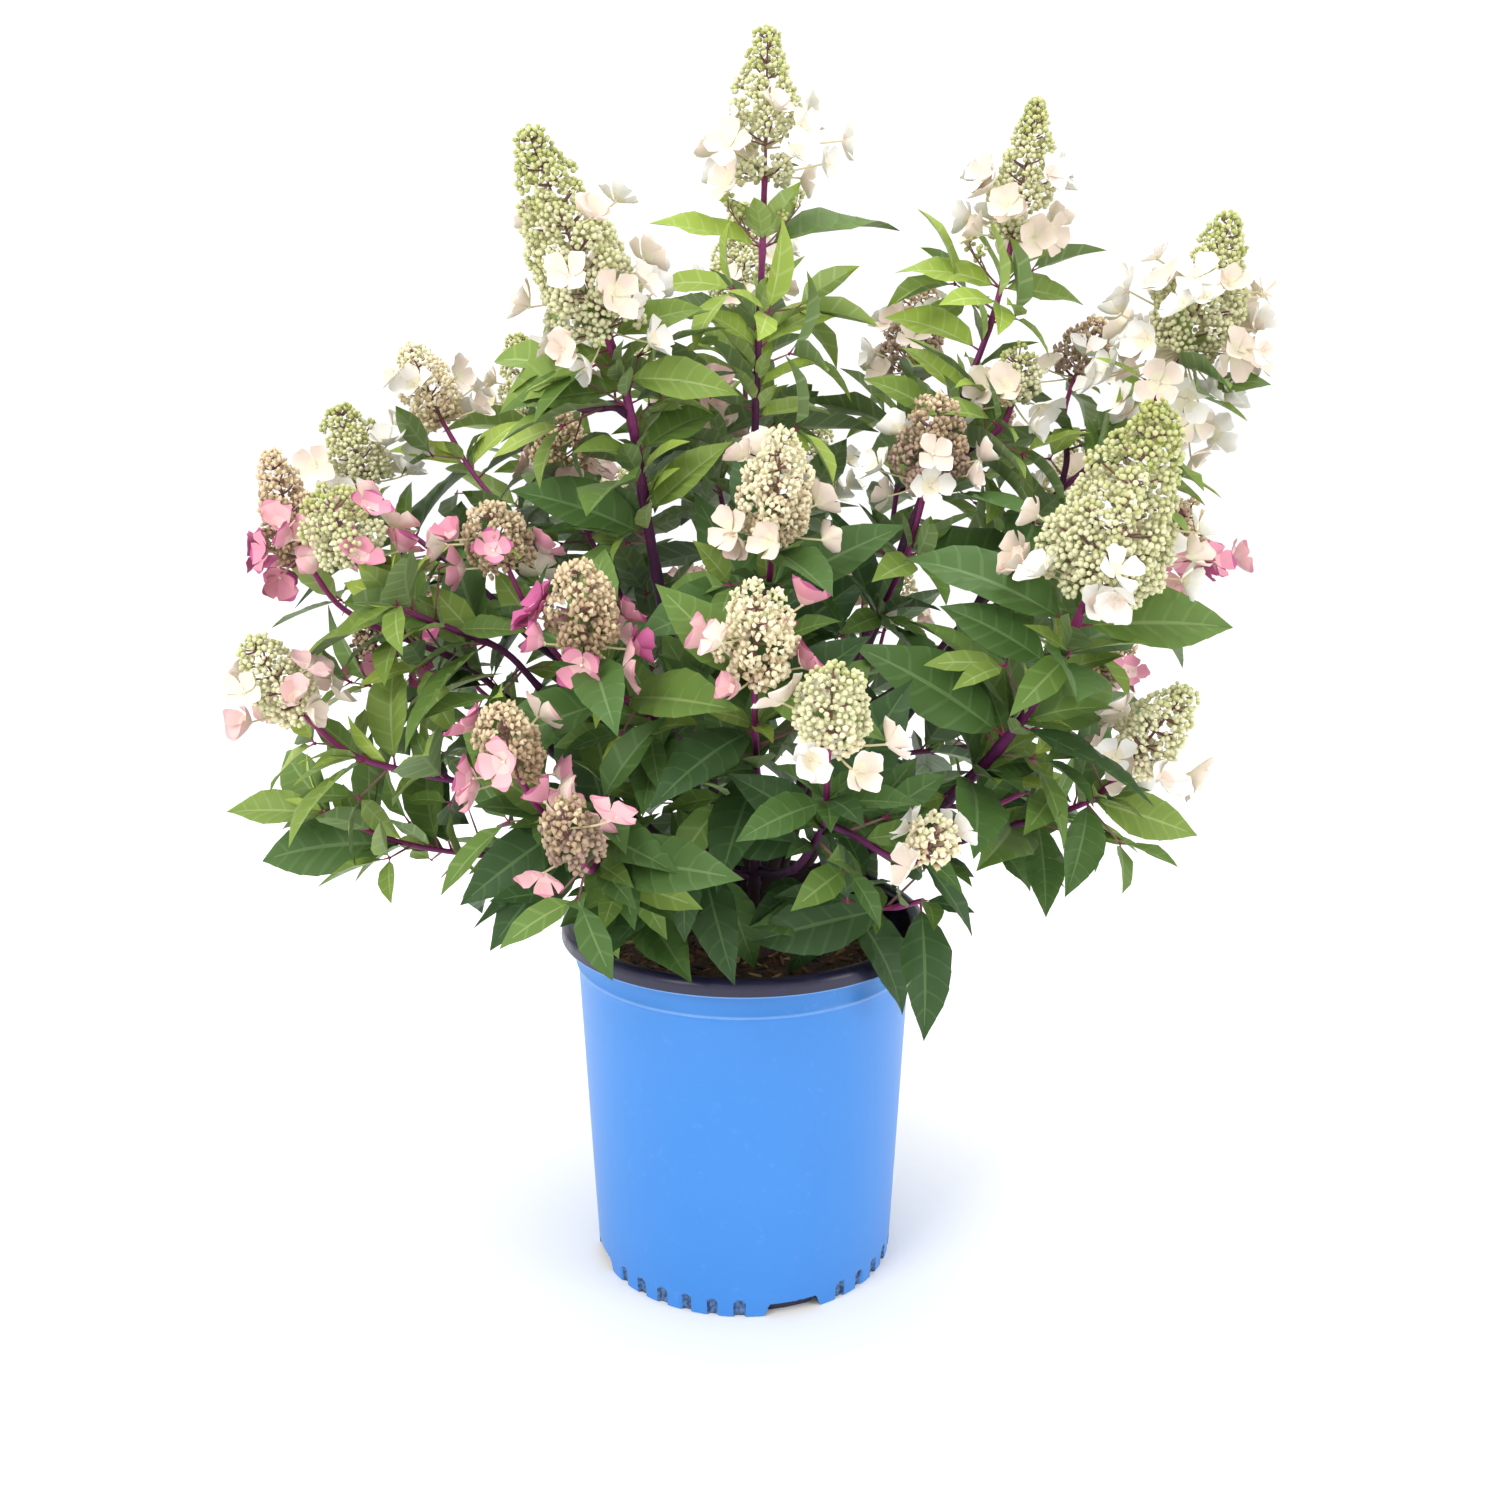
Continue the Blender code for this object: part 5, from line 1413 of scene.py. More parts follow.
def cap_ways(way, count, opening, rng):
    """Directions spread evenly over a cap round a way."""
    side = across(way)
    spread = []
    for number in range(count):
        slope = 1.0 - (1.0 - math.cos(opening)) * (number + 0.5) / count
        out = math.sqrt(1.0 - slope * slope)
        turn = GOLDEN_TURN * number + rng.uniform(-CAP_STRAY, CAP_STRAY)
        spread.append(way * slope + turned_about(way, turn, side) * out)
    return spread


def lay_cluster(buds, centre, outward, size, along, family, rng):
    """A dome of buds that looks outward, greener towards the head's tip."""
    tones_here = BUD_FAMILIES[family]
    last = len(tones_here) - 1
    ripeness = (1.0 - along) * last
    count = max(5, round(BUDS_PER_AREA * (size / BUD_RADIUS) ** 2))
    for bud_way in cap_ways(outward, count, math.radians(CLUSTER_OPENING), rng):
        tone = tones_here[min(last, max(0, round(ripeness + rng.uniform(-RIPE_STRAY, RIPE_STRAY))))]
        pattern = open_bud if rng.random() < OPEN_SHARE[family] else closed_bud
        radius = BUD_RADIUS * rng.uniform(*BUD_VARIES) * (1.0 - BUD_SHRINK * along)
        spot = centre + bud_way * size * rng.uniform(*BUD_DEPTHS)
        bud_side = across(bud_way, BUD_FORWARD)
        rows = frame_rows(bud_side, bud_way.cross(bud_side), bud_way)
        buds.add(pattern, (pattern.points * radius) @ rows + np.array(spot), tone)


def lay_twig(joined, points, radii, tone=0):
    """Lays down a thin three-sided twig or stalk through three points, with a radius for each ring."""
    laid, _ = laid_tube(twig_tube, len(radii) - 1, points, radii)
    joined.add(twig_tube, laid, tone)


def grow_head(head, buds, twigs):
    """One flower head: its axis, and the rings of side branches with their bud clusters."""
    foot, way, length, half_width, seed, family, _ = head
    rng = random.Random(seed + HEAD_SEED)
    side = across(way)
    spine = [foot - way * AXIS_SUNK, foot + way * length * 0.5, foot + way * length * AXIS_END]
    lay_twig(twigs, spine, [AXIS_RADIUS, AXIS_RADIUS * 0.8, AXIS_RADIUS * 0.6, AXIS_TIP_RADIUS])
    bare_from, bare_to = BARE_AXIS.get(family, (1.0, 1.0))
    rise = 0.4 * CLUSTER_LARGEST
    while rise < length - TIP_CLUSTER:
        along = rise / length
        wide = half_width * head_width(along, length)
        size = min(CLUSTER_LARGEST, max(CLUSTER_LEAST, CLUSTER_SHARE * wide))
        count = max(3, round(math.pi * max(wide - 0.7 * size, size) / size * 0.92))
        if bare_from < along < bare_to:
            count = 0
        start_turn = rng.uniform(0, 2 * math.pi)
        for number in range(count):
            turn = start_turn + 2 * math.pi * number / count + rng.uniform(-CLUSTER_TURN, CLUSTER_TURN)
            spoke = turned_about(way, turn, side)
            here = size * rng.uniform(*CLUSTER_VARIES)
            out = max(wide * rng.uniform(*CLUSTER_REACH) - here * 0.8, 0.0)
            high = rise + rng.uniform(-CLUSTER_STRAY, CLUSTER_STRAY) * size
            centre = foot + way * high + spoke * out
            start = foot + way * max(high - 0.4 * out, 0.0)
            bow = start.lerp(centre, 0.55) - way * BRANCH_SAG
            lay_twig(twigs, [start, bow, centre], [BRANCH_RADIUS] * 4)
            outward = turned_out(spoke, way, CLUSTER_UP + CLUSTER_UP_MORE * along)
            lay_cluster(buds, centre, outward, here, along, family, rng)
        rise += size * RING_STEP
    lay_cluster(buds, foot + way * (length - TIP_CLUSTER), way, CLUSTER_LEAST, 1.0, family, rng)


def grow_spray(buds, twigs, name, fraction, azimuth, long, rng):
    """A small spray of buds on its own forked stalk, from a leaf's axil."""
    root, way = point_along(masses[name]["stems"][0], fraction)
    tip = root + leaning(azimuth, SPRAY_LEAN) * long
    lay_twig(twigs, [root, root.lerp(tip, 0.5) - way * SPRAY_SAG, tip], SPRAY_RADII)
    for number in range(SPRAY_FORKS):
        fork = root.lerp(tip, 0.45 + 0.17 * number)
        out = leaning(azimuth + (70 if number % 2 else -70), 38 if number < 3 else 8)
        end = fork + out * (0.009 - 0.001 * number)
        lay_twig(twigs, [fork, fork.lerp(end, 0.5), end], [SPRAY_TWIG] * 4)
        lay_cluster(buds, end, out, SPRAY_CLUSTER, 0.8, "green", rng)


closed_bud = bud_pattern(False)
open_bud = bud_pattern(True)
twig_tube = tube_pattern(3, 3)
bud_pieces = {name: Joined() for name in ("buds_right", "buds_left", "buds_back_right", "buds_back_left")}
head_twigs = Joined()
for mass in masses.values():
    for head in mass["heads"]:
        where = "buds_back" if head[0].y > BACK_FROM else "buds"
        where += "_right" if head[0].x > 0.0 else "_left"
        grow_head(head, bud_pieces[where], head_twigs)
spray_rng = random.Random(SPRAY_SEED)
for spray in SPRAYS:
    grow_spray(bud_pieces["buds_right"], head_twigs, *spray, spray_rng)
bud_finishes = tones(BUD_TONES, {"Roughness": 0.50, "Specular IOR Level": 0.3})
for name, joined in bud_pieces.items():
    joined.piece(name, bud_finishes, 75)


# Sterile florets. Large papery flowers of four rounded sepals on thin stalks round the lower part of each
# head, cupped like a butterfly's wings. They open white or cream and turn pink to rose with age.
SEPAL_TONES = {
    "sepal_white": (0.800, 0.780, 0.740),
    "sepal_cream": (0.780, 0.720, 0.560),
    "sepal_peach": (0.780, 0.670, 0.580),
    "sepal_blush": (0.760, 0.540, 0.520),
    "sepal_pink": (0.750, 0.440, 0.465),
    "sepal_deep_pink": (0.670, 0.285, 0.375),
    "sepal_rose": (0.455, 0.100, 0.245),
    "floret_stalk": (0.560, 0.500, 0.300),
}
# Each kind of sepal: the tones of its heart, middle and rim, as places in SEPAL_TONES.
SEPAL_FAMILIES = {
    "white": ((1, 2, 0), (1, 0, 0), (2, 2, 0), (1, 2, 2), (1, 0, 0), (2, 0, 0)),
    "blush": ((1, 2, 3), (2, 3, 3), (1, 2, 2), (2, 3, 4), (1, 0, 2)),
    "pink": ((3, 4, 5), (4, 5, 6), (2, 3, 4), (3, 5, 5), (1, 2, 4), (2, 4, 5)),
    "rose": ((4, 5, 6), (5, 6, 6), (3, 4, 5), (5, 5, 6), (3, 4, 5)),
}
SEPAL_LENGTH = 0.0142
SEPAL_WIDTH = 0.0060
SEPAL_ROWS = (0.0, 0.14, 0.36, 0.60, 0.82, 0.97)
SEPAL_COLUMNS = 4
SEPAL_THICKNESS = 0.0004
SEPAL_SIZES = (0.84, 1.14)
SEPAL_LENGTHS = (0.84, 1.08)
SEPAL_WIDTHS = (0.92, 1.12)
SEPAL_STEP = 0.0003
SEPAL_ROOT = 0.0005
SEPAL_TURN = 8
CUPPED = (10, 50)
LESS_CUPPED = 0.6
FLORET_UP = Vector((0.0, 0.0, 0.45))
FLORET_OUT = 0.8
FLORET_TOSSED = 0.45
HEART_RADIUS = 0.0011
HEART_HEIGHT = 0.0008
HEART_TONE = 1
FLORET_STALK_TONE = 7
STALK_RADIUS = 0.0006
STALK_DROP = 0.006
STALK_BOW = 0.001
FLORET_SEED = 5000
MORE_FLORETS = 160.0
NEAREST = 0.005
FARTHEST = 0.013
HIGHEST = 0.60
ON_SECOND_HEAD = 4
LOWER_MORE_OFTEN = 1.3
# Heads whose florets differ: how many, how far off the farthest is, and from where to where they stand.
SHOWY_HEADS = {
    "mass_top": (12, 0.026, 0.0, 0.62),
    "mass_upper_left": (20, 0.017, 0.0, 0.60),
    "mass_upper_right": (14, 0.018, 0.0, 0.60),
    "mass_far_right": (54, 0.030, -0.55, 0.45),
    "mass_near_right": (14, 0.017, 0.0, 0.36),
    "mass_right": (14, 0.022, 0.0, 0.60),
}


def sepal_pattern():
    """One rounded sepal: two grids that share their edge, cupped, with its heart, middle and rim as zones."""
    bm = bmesh.new()
    last = len(SEPAL_ROWS) - 1
    for face_down in (False, True):
        made = bmesh.ops.create_grid(bm, x_segments=SEPAL_COLUMNS, y_segments=last, size=0.5)
        faces = {face for vert in made["verts"] for face in vert.link_faces}
        for face in faces:
            row = math.floor((face.calc_center_median().y + 0.5) * last)
            face.material_index = 0 if row < 2 else 2 if row == last - 1 else 1
        if face_down:
            bmesh.ops.reverse_faces(bm, faces=list(faces))
        for vert in made["verts"]:
            out = vert.co.x * 2.0
            along = SEPAL_ROWS[round((vert.co.y + 0.5) * last)]
            wide = 0.14 * (1.0 - along) + 1.50 * along**0.9 * (1.0 - along**4) ** 0.5
            cup = 0.20 * (out * wide) ** 2 + 0.14 * along**2 + 0.03 * math.sin(9.0 * along) * out
            rim = abs(out) > 0.99 or along in (SEPAL_ROWS[0], SEPAL_ROWS[-1])
            if face_down and not rim:
                cup -= SEPAL_THICKNESS / SEPAL_LENGTH
            vert.co = (out * wide, along - 0.13 * out**2 * along, cup)
    bmesh.ops.remove_doubles(bm, verts=bm.verts, dist=1e-4)
    return Pattern(bm)


def lay_floret(florets, placed, rng):
    """Four sepals round a small heart, on a stalk that comes out of the flower head."""
    centre, inward, normal, head = placed
    foot, way, length, half_width, _, _, family = head
    tones_here = rng.choice(SEPAL_FAMILIES[family])
    stray = Vector((rng.uniform(-1, 1), rng.uniform(-1, 1), rng.uniform(-0.6, 1)))
    facing = (FLORET_UP - inward * FLORET_OUT + stray * FLORET_TOSSED).normalized()
    first = across(facing, Vector((rng.uniform(-1, 1), rng.uniform(-1, 1), rng.uniform(-1, 1))))
    size = rng.uniform(*SEPAL_SIZES)
    cupped = rng.uniform(*CUPPED)
    for quarter in range(4):
        turn = math.radians(90 * quarter + rng.uniform(-SEPAL_TURN, SEPAL_TURN))
        out = turned_about(facing, turn, first)
        axis = turned_out(out, facing, cupped * (LESS_CUPPED if quarter % 2 else 1.0))
        top = across(axis, facing)
        long = SEPAL_LENGTH * size * rng.uniform(*SEPAL_LENGTHS)
        scale = np.array([SEPAL_WIDTH * size * rng.uniform(*SEPAL_WIDTHS), long, long])
        root = np.array(centre + facing * (SEPAL_STEP * quarter) + axis * SEPAL_ROOT)
        points = (sepal.points * scale) @ frame_rows(axis.cross(top), axis, top) + root
        florets.add(sepal, points, np.choose(sepal.zones, tones_here))
    rows = frame_rows(first, facing.cross(first), facing)
    heart = (closed_bud.points * HEART_RADIUS) @ rows + np.array(centre + facing * HEART_HEIGHT)
    florets.add(closed_bud, heart, HEART_TONE)
    seat = foot + way * min(max((centre - foot).dot(way) - STALK_DROP, 0.0), length * 0.7)
    bow = seat.lerp(centre, 0.6) - facing * STALK_BOW
    lay_twig(florets, [seat, bow, centre], [STALK_RADIUS] * 4, FLORET_STALK_TONE)


sepal = sepal_pattern()
florets = Joined()
for name, mass in masses.items():
    rng = random.Random(mass["seed"] + FLORET_SEED)
    for head in mass["heads"]:
        foot, way, length, half_width = head[:4]
        usual = (round(MORE_FLORETS * length), FARTHEST, 0.0, HIGHEST)
        wanted, farthest, lowest, highest = SHOWY_HEADS.get(name, usual)
        side = across(way)
        for number in range(wanted if head is mass["heads"][0] else ON_SECOND_HEAD):
            turn = GOLDEN_TURN * number + rng.uniform(-0.6, 0.6)
            spoke = turned_about(way, turn, side)
            along = length * (lowest + (highest - lowest) * rng.uniform(0.0, 1.0) ** LOWER_MORE_OFTEN)
            out = turned_out(spoke, -way, rng.uniform(-20, 34))
            wide = half_width * head_width(max(along, 0.0) / length, length)
            off = wide * 0.85 + rng.uniform(NEAREST, farthest)
            centre = foot + way * along + out * off
            normal = across(out, way + spoke * 0.5)
            whole = room_floret(centre, -out, normal, -0.003)
            if room.is_clear(name, whole, room_floret(centre, -out, normal, -0.006, FLORET_FREE)):
                room.add(name, whole)
                mass["florets"].append((centre, -out, normal, head))
    for placed in mass["florets"]:
        lay_floret(florets, placed, rng)
sepal_finishes = tones(SEPAL_TONES, {"Roughness": 0.60, "Specular IOR Level": 0.2})
sterile_florets = florets.piece("sterile_florets", sepal_finishes, 75)


# Leaves. Opposite pairs of pointed oval leaves on short purple stalks, ridged between their pale side veins,
# with small teeth and a paler underside. The young ones near the top and the rim are yellow green, and the
# ones inside the plant dark; both are partly age and partly painted light and shade. Each is a thin closed
# blade, folded along its midrib and arched.
LEAF_TONES = {
    "leaf_dark": (0.034, 0.076, 0.022),
    "leaf_deep": (0.062, 0.128, 0.029),
    "leaf_green": (0.108, 0.188, 0.037),
    "leaf_fresh": (0.180, 0.268, 0.050),
    "leaf_lime": (0.310, 0.420, 0.070),
    "vein_dark": (0.048, 0.104, 0.032),
    "vein_deep": (0.084, 0.160, 0.044),
    "vein_green": (0.140, 0.228, 0.054),
    "vein_fresh": (0.220, 0.316, 0.074),
    "vein_lime": (0.365, 0.475, 0.115),
    "rib_dark": (0.080, 0.150, 0.050),
    "rib_deep": (0.125, 0.205, 0.072),
    "rib_green": (0.200, 0.285, 0.090),
    "rib_fresh": (0.290, 0.385, 0.130),
    "rib_lime": (0.440, 0.545, 0.190),
    "under_grey": (0.125, 0.190, 0.088),
    "under_green": (0.185, 0.270, 0.105),
    "under_lime": (0.320, 0.430, 0.130),
    "under_vein_grey": (0.195, 0.270, 0.140),
    "under_vein_green": (0.260, 0.350, 0.165),
    "under_vein_lime": (0.400, 0.510, 0.200),
    "leaf_stalk": (0.230, 0.030, 0.090),
}
# For each of the five leaf tones, the places of its veins, rib, underside and under veins in LEAF_TONES.
VEIN_FOR = (5, 6, 7, 8, 9)
RIB_FOR = (10, 11, 12, 13, 14)
UNDER_FOR = (15, 15, 16, 16, 17)
UNDER_VEIN_FOR = (18, 18, 19, 19, 20)
STALK_TONE = 21
BLADE_HALF_WIDTH = 0.188
LEAF_BALANCE = 0.80
LEAF_FULLNESS = 1.12
BLADE_START = 0.07
VEIN_PAIRS = 7
VEIN_STRIP = 0.17
UPPER_COLUMNS = (-1.0, -0.55, -0.06, 0.06, 0.55, 1.0)
PLAIN_COLUMNS = (-1.0, -0.07, 0.07, 1.0)
SMALL_VEIN_PAIRS = 4
VEIN_SLANT = 0.36
RIDGE = 0.026
TOOTH = 0.020
BLADE_THICKNESS = 0.004
FOLDS = (0.25, 0.75)
BENDS = (0.20, 0.85)
TWIST = 0.45
WAVES = (0.006, 0.032)
BLADE_WIDTHS = (0.90, 1.12)
LEAF_STALK = 0.0009
LARGE_LEAF_SEED = 3000
BRACT_TONE = 3
AXIL_TURNS = (-38, 34)
AXIL_LEAVES = (0.36, 0.60)
AXIL_SPREAD = 30
AXIL_STAND_OFF = 0.003
TWIG_PLACES = (0.08, 0.86)
TWIG_SPREADS = (45, 80)
TWIG_LENGTHS = (0.012, 0.034)
TWIG_LEAF_TURNS = (0, 180, 90)
TWIG_LEAF_STRAY = 20
TWIG_LEAVES = (0.030, 0.056)
TWIG_LEAF_SPREADS = (36, 62)
TWIG_LEAF_SAG = 0.05
TWIG_RADII = (0.0009, 0.0008, 0.0007, 0.0004)
TWIGS_PER_STEM = 5
BARER_STEMS = {"mass_front": 2}
# How fresh a shoot's leaves look, where it isn't the usual: the more, the paler.
USUAL_FRESH = 0.9
FRESH_SHOOTS = {
    "mass_top": 2.3,
    "mass_upper_left": 1.2,
    "mass_upper_right": 1.2,
    "mass_front": -0.5,
    "mass_front_left_low": 0.1,
    "mass_left_low": 1.5,
    "mass_left_foot": 1.7,
    "mass_left_near": 1.3,
    "mass_front_foot": 0.4,
    "mass_front_right_foot": 0.1,
    "mass_right_foot": 0.3,
}
# Leaves drawn at a share of their length, by their number on the shoot.
SMALL_LEAVES = {"mass_front": {3: 0.55, 4: 0.60}, "mass_front_right_foot": {5: 0.7}}
YOUNG_LOWEST = 0.255
YOUNG_INSIDE = 0.09
BRACT_LENGTH = 0.021
BRACT_RISE = 42
BRACT_STAND_OFF = 0.0006
BRACT_SIDE = Vector((1.0, 0.2, 0.0))


def blade_outline(along):
    """A leaf's half width at a share of its length, as a share of its widest."""
    return math.sin(math.pi * min(along, 1.0) ** LEAF_BALANCE) ** LEAF_FULLNESS


def blade_pattern(vein_pairs, upper, under):
    """A flat leaf of length 1: two grids that share their toothed edge, a narrow row along each side vein."""
    edges = [0.0]
    for vein in range(vein_pairs):
        start_of_vein = (vein + 0.5) / (vein_pairs + 0.4)
        edges += [start_of_vein, start_of_vein + VEIN_STRIP / (vein_pairs + 0.4)]
    edges.append(1.0)
    rows = len(edges) - 1
    bm = bmesh.new()
    for columns, face_down in ((upper, False), (under, True)):
        last = len(columns) - 1
        made = bmesh.ops.create_grid(bm, x_segments=last, y_segments=rows, size=0.5)
        faces = {face for vert in made["verts"] for face in vert.link_faces}
        for face in faces:
            middle = face.calc_center_median()
            row = math.floor((middle.y + 0.5) * rows)
            rib = math.floor((middle.x + 0.5) * last) == last // 2
            vein = row % 2 == 1
            if row < rows - 2:
                face.material_index = 3 + (rib or vein) if face_down else 2 if rib else vein
        if face_down:
            bmesh.ops.reverse_faces(bm, faces=list(faces))
        for vert in made["verts"]:
            out = columns[round((vert.co.x + 0.5) * last)]
            step = round((vert.co.y + 0.5) * rows)
            past_vein = step % 2 == 0
            along = edges[step]
            along += VEIN_SLANT * abs(out) ** 1.3 * along**0.7 * (1.0 - along)
            wide = blade_outline(along)
            height = -0.35 * BLADE_THICKNESS if abs(out) < 0.1 else 0.0
            if abs(out) == 1.0:
                wide *= 1.0 + TOOTH * (1.0 if past_vein else -0.6)
            elif face_down:
                height = -BLADE_THICKNESS * min(1.0, 0.3 + 3.0 * wide)
            elif abs(out) > 0.1 and past_vein and 0 < step < rows:
                height = RIDGE * wide
            vert.co = (out * wide, along, height)
    bmesh.ops.remove_doubles(bm, verts=bm.verts, dist=1e-4)
    return Pattern(bm)


def lay_leaf(leaves, blade, placed, rng, tone):
    """Bends one leaf pattern: folded along its midrib, arched, twisted and waved, on its stalk."""
    root, axis, normal, length = placed[:4]
    side = axis.cross(normal)
    fold = rng.uniform(*FOLDS)
    bend = rng.uniform(*BENDS)
    twist = rng.uniform(-TWIST, TWIST)
    wave = rng.uniform(*WAVES)
    phase = rng.uniform(0.0, 6.3)
    out, along, height = blade.points.T
    along = BLADE_START + (1.0 - BLADE_START) * along
    half = BLADE_HALF_WIDTH * length * rng.uniform(*BLADE_WIDTHS)
    share = np.abs(out)
    lift = fold * share * (1.0 - 0.40 * share) * half + height * length
    lift += wave * length * share**2 * np.sin(along * 13.0 + phase + np.sign(out))
    sideways = out * half
    angle = twist * along**1.5
    cos, sin = np.cos(angle), np.sin(angle)
    sideways, lift = sideways * cos - lift * sin, sideways * sin + lift * cos
    ahead = length * np.sin(bend * along) / bend + np.sin(bend * along) * lift
    lifted = np.cos(bend * along) * lift - length * (1.0 - np.cos(bend * along)) / bend
    local = np.stack([sideways, ahead, lifted], axis=1)
    points = local @ frame_rows(side, axis, normal) + np.array(root)
    zone_tones = [tone, VEIN_FOR[tone], RIB_FOR[tone], UNDER_FOR[tone], UNDER_VEIN_FOR[tone]]
    leaves.add(blade, points, np.choose(blade.zones, zone_tones))
    end = root + axis * (BLADE_START * 1.5 * length)
    thick = LEAF_STALK * (length / LEAF_LENGTH) ** 0.6
    stalk_radii = [thick * 1.3, thick, thick * 0.8, thick * 0.4]
    lay_twig(leaves, [root - axis * LEAF_ROOT, root.lerp(end, 0.5), end], stalk_radii, STALK_TONE)


def leaf_tone(name, root, length, rng):
    """Dark inside the plant and low in it, partly older and partly painted shade; paler at its outside and
    top, partly younger and partly painted light; and lighter on small leaves.
    """
    # Leaves farther out and higher get paler tones: partly younger growth, partly painted light.
    outside = math.hypot(root.x, root.y) / 0.24 + max(0.0, root.z - 0.40) / 0.16
    young = max(-0.9, (0.062 - length) * 26.0)
    # Leaves low inside the plant get darker tones: partly older leaves, partly painted shade.
    low = max(0.0, 0.34 - root.z) * 7.0 if outside < 0.7 else 0.0
    fresh = FRESH_SHOOTS.get(name, USUAL_FRESH)
    return min(4, max(0, round(fresh + 1.5 * outside + young - low + rng.uniform(-1.5, 1.1))))


def bracts_under(head):
    """The two small cupped leaves that stand under a slender head."""
    foot, way = head[:2]
    for side in (across(way, BRACT_SIDE), -across(way, BRACT_SIDE)):
        axis = turned_out(side, way, BRACT_RISE)
        yield foot + side * BRACT_STAND_OFF, axis, across(axis, way), BRACT_LENGTH


def clear_of_pot(leaf):
    """True if a small leaf's tip stands above the rim, or its root inside it, so that none hides the pot."""
    root, axis, _, length = leaf[:4]
    return root.z + axis.z * length > YOUNG_LOWEST or math.hypot(root.x, root.y) < YOUNG_INSIDE


def grow_young(name, mass, rng):
    """The small leaves: two in each large leaf's axil, and pairs on short twigs between the nodes."""
    for root, axis, normal, length, way in list(mass["leaves"]):
        start = root + way * AXIL_STAND_OFF
        for twist in AXIL_TURNS:
            sideways = Matrix.Rotation(math.radians(twist), 3, way) @ across(way, axis)
            size = length * rng.uniform(*AXIL_LEAVES)
            yield try_leaf(room, name, start, way, sideways, size, AXIL_SPREAD, 0.0)
    for points in mass["stems"]:
        for number in range(BARER_STEMS.get(name, TWIGS_PER_STEM)):
            root, way = point_along(points, rng.uniform(*TWIG_PLACES))
            sideways = turned_about(way, rng.uniform(0, 2 * math.pi), across(way))
            twig_way = turned_out(way, sideways, rng.uniform(*TWIG_SPREADS))
            end = root + twig_way * rng.uniform(*TWIG_LENGTHS)
            grown = False
            for quarter in TWIG_LEAF_TURNS:
                turn = math.radians(quarter + rng.uniform(-TWIG_LEAF_STRAY, TWIG_LEAF_STRAY))
                leaf_side = Matrix.Rotation(turn, 3, twig_way) @ across(twig_way)
                size = rng.uniform(*TWIG_LEAVES)
                spread = rng.uniform(*TWIG_LEAF_SPREADS)
                young = try_leaf(room, name, end, twig_way, leaf_side, size, spread, TWIG_LEAF_SAG)
                grown = grown or young is not None
                yield young
            if grown:
                lay_twig(head_twigs, [root, root.lerp(end, 0.5), end + twig_way * 0.001], TWIG_RADII)


blade = blade_pattern(VEIN_PAIRS, UPPER_COLUMNS, PLAIN_COLUMNS)
small_blade = blade_pattern(SMALL_VEIN_PAIRS, PLAIN_COLUMNS, PLAIN_COLUMNS)
leaves = Joined()
small_leaves = Joined()
for name, mass in masses.items():
    rng = random.Random(mass["seed"] + LARGE_LEAF_SEED)
    small = SMALL_LEAVES.get(name, {})
    for number, (root, axis, normal, length, way) in enumerate(mass["leaves"]):
        placed = (root, axis, normal, length * small.get(number, 1.0), way)
        lay_leaf(leaves, blade, placed, rng, leaf_tone(name, root, length, rng))
    for young in grow_young(name, mass, rng):
        if young and clear_of_pot(young):
            lay_leaf(small_leaves, small_blade, young, rng, leaf_tone(name, young[0], young[3], rng))
    for head in mass["heads"]:
        if head[5] == "spire":
            for bract in bracts_under(head):
                lay_leaf(small_leaves, small_blade, bract, rng, BRACT_TONE)
leaf_finishes = tones(LEAF_TONES, {"Roughness": 0.50, "Specular IOR Level": 0.22})
leaf_blades = leaves.piece("leaves", leaf_finishes, 70)
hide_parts(*masses)
young_leaves = small_leaves.piece("young_leaves", leaf_finishes, 70)
twig_finish = Finish("fine_twig").done({"Base Color": (0.20, 0.09, 0.085), "Roughness": 0.6})
fine_twigs = head_twigs.piece("fine_twigs", [twig_finish], 75)


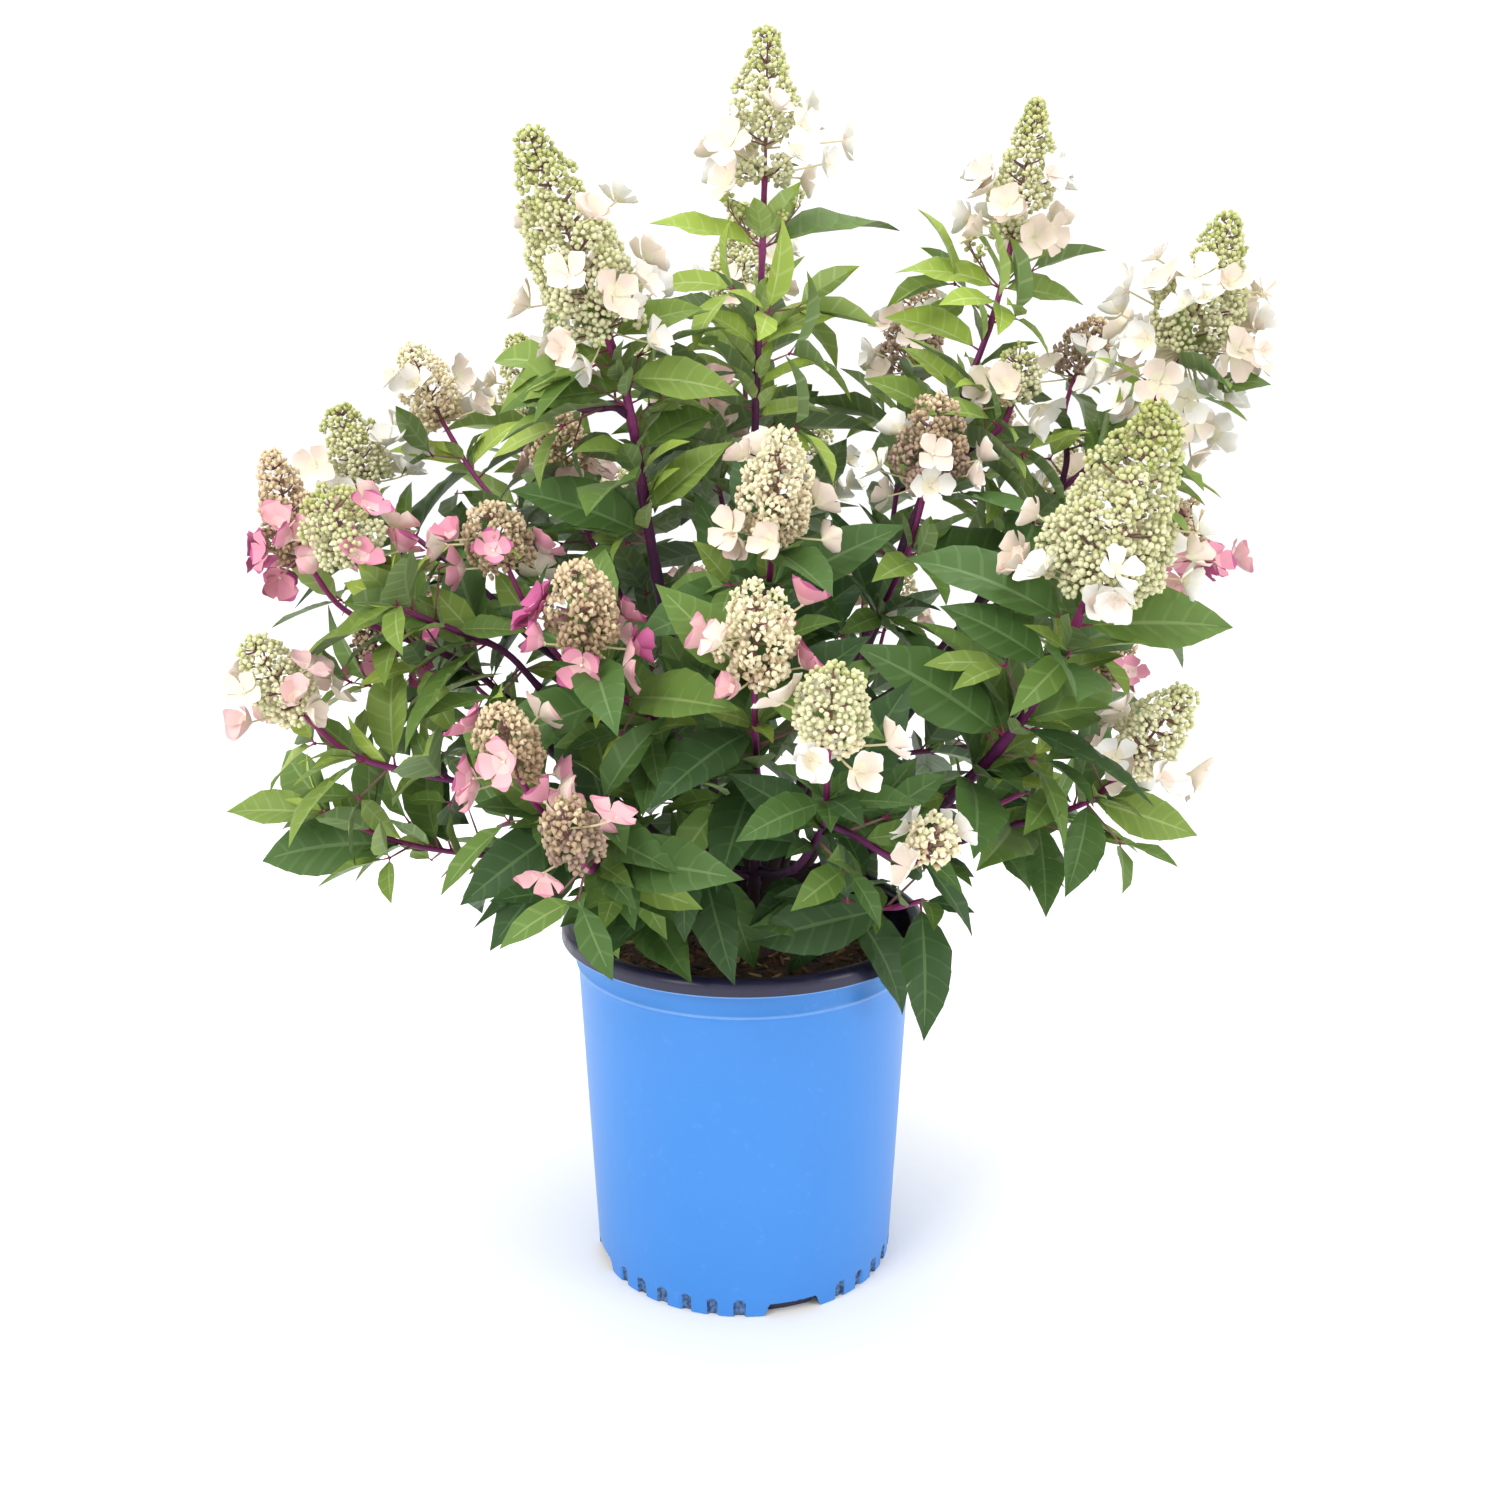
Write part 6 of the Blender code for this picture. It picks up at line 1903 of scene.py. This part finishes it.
# Studio. A pale floor under soft light from all round, as in a catalogue photograph, and the camera at the
# photograph's angle: a little above the rim and looking slightly down.
CAMERA_PLACE = (0.0037, -0.9, 0.5465)
CAMERA_PITCH = 14.1
CAMERA_LENS = 37.44
CAMERA_SENSOR = 36.0
FLOOR_SIZE = 30.0
FLOOR_PALE = (0.93, 0.93, 0.93)
AIR_STRENGTH = 1.12
# Each light's name, where it hangs, what it looks at, its size in metres, its power in watts and its colour.
LIGHTS = (
    ("key_light", (-1.3, -1.5, 1.7), (0.0, 0.0, 0.35), (1.0, 1.0), 26.0, (1.0, 0.99, 0.96)),
    ("fill_light", (1.7, -0.9, 0.9), (0.0, 0.0, 0.3), (0.9, 0.9), 9.0, (1.0, 1.0, 1.0)),
    ("top_light", (0.1, 0.3, 2.3), (0.1, 0.3, 0.0), (1.8, 1.8), 24.0, (1.0, 1.0, 1.0)),
)


def softbox(name, place_at, look_at, size, power, colour):
    """A rectangular area light."""
    light = bpy.data.lights.new(name, "AREA")
    light.shape = "RECTANGLE"
    light.size, light.size_y = size
    light.energy = power
    light.color = colour
    made = bpy.data.objects.new(name, light)
    made.location = place_at
    made.rotation_mode = "QUATERNION"
    made.rotation_quaternion = (Vector(look_at) - Vector(place_at)).to_track_quat("-Z", "Y")
    bpy.context.scene.collection.objects.link(made)


floor_mesh = bmesh.new()
bmesh.ops.create_grid(floor_mesh, x_segments=2, y_segments=2, size=FLOOR_SIZE)
floor_paint = Finish("floor_paint").done({"Base Color": FLOOR_PALE, "Roughness": 0.9})
floor = piece_of(floor_mesh, "studio_floor", [floor_paint], 30)
world = bpy.data.worlds.new("studio_air")
world.use_nodes = True
air = world.node_tree.nodes["Background"]
air.inputs["Color"].default_value = (1.0, 1.0, 1.0, 1.0)
air.inputs["Strength"].default_value = AIR_STRENGTH
bpy.context.scene.world = world
for light in LIGHTS:
    softbox(*light)
lens = bpy.data.cameras.new("camera")
lens.lens = CAMERA_LENS
lens.sensor_width = CAMERA_SENSOR
camera = bpy.data.objects.new("camera", lens)
camera.location = CAMERA_PLACE
camera.rotation_euler = (math.radians(90.0 - CAMERA_PITCH), 0.0, 0.0)
bpy.context.scene.collection.objects.link(camera)
bpy.context.scene.camera = camera
bpy.context.scene.view_settings.view_transform = "Standard"
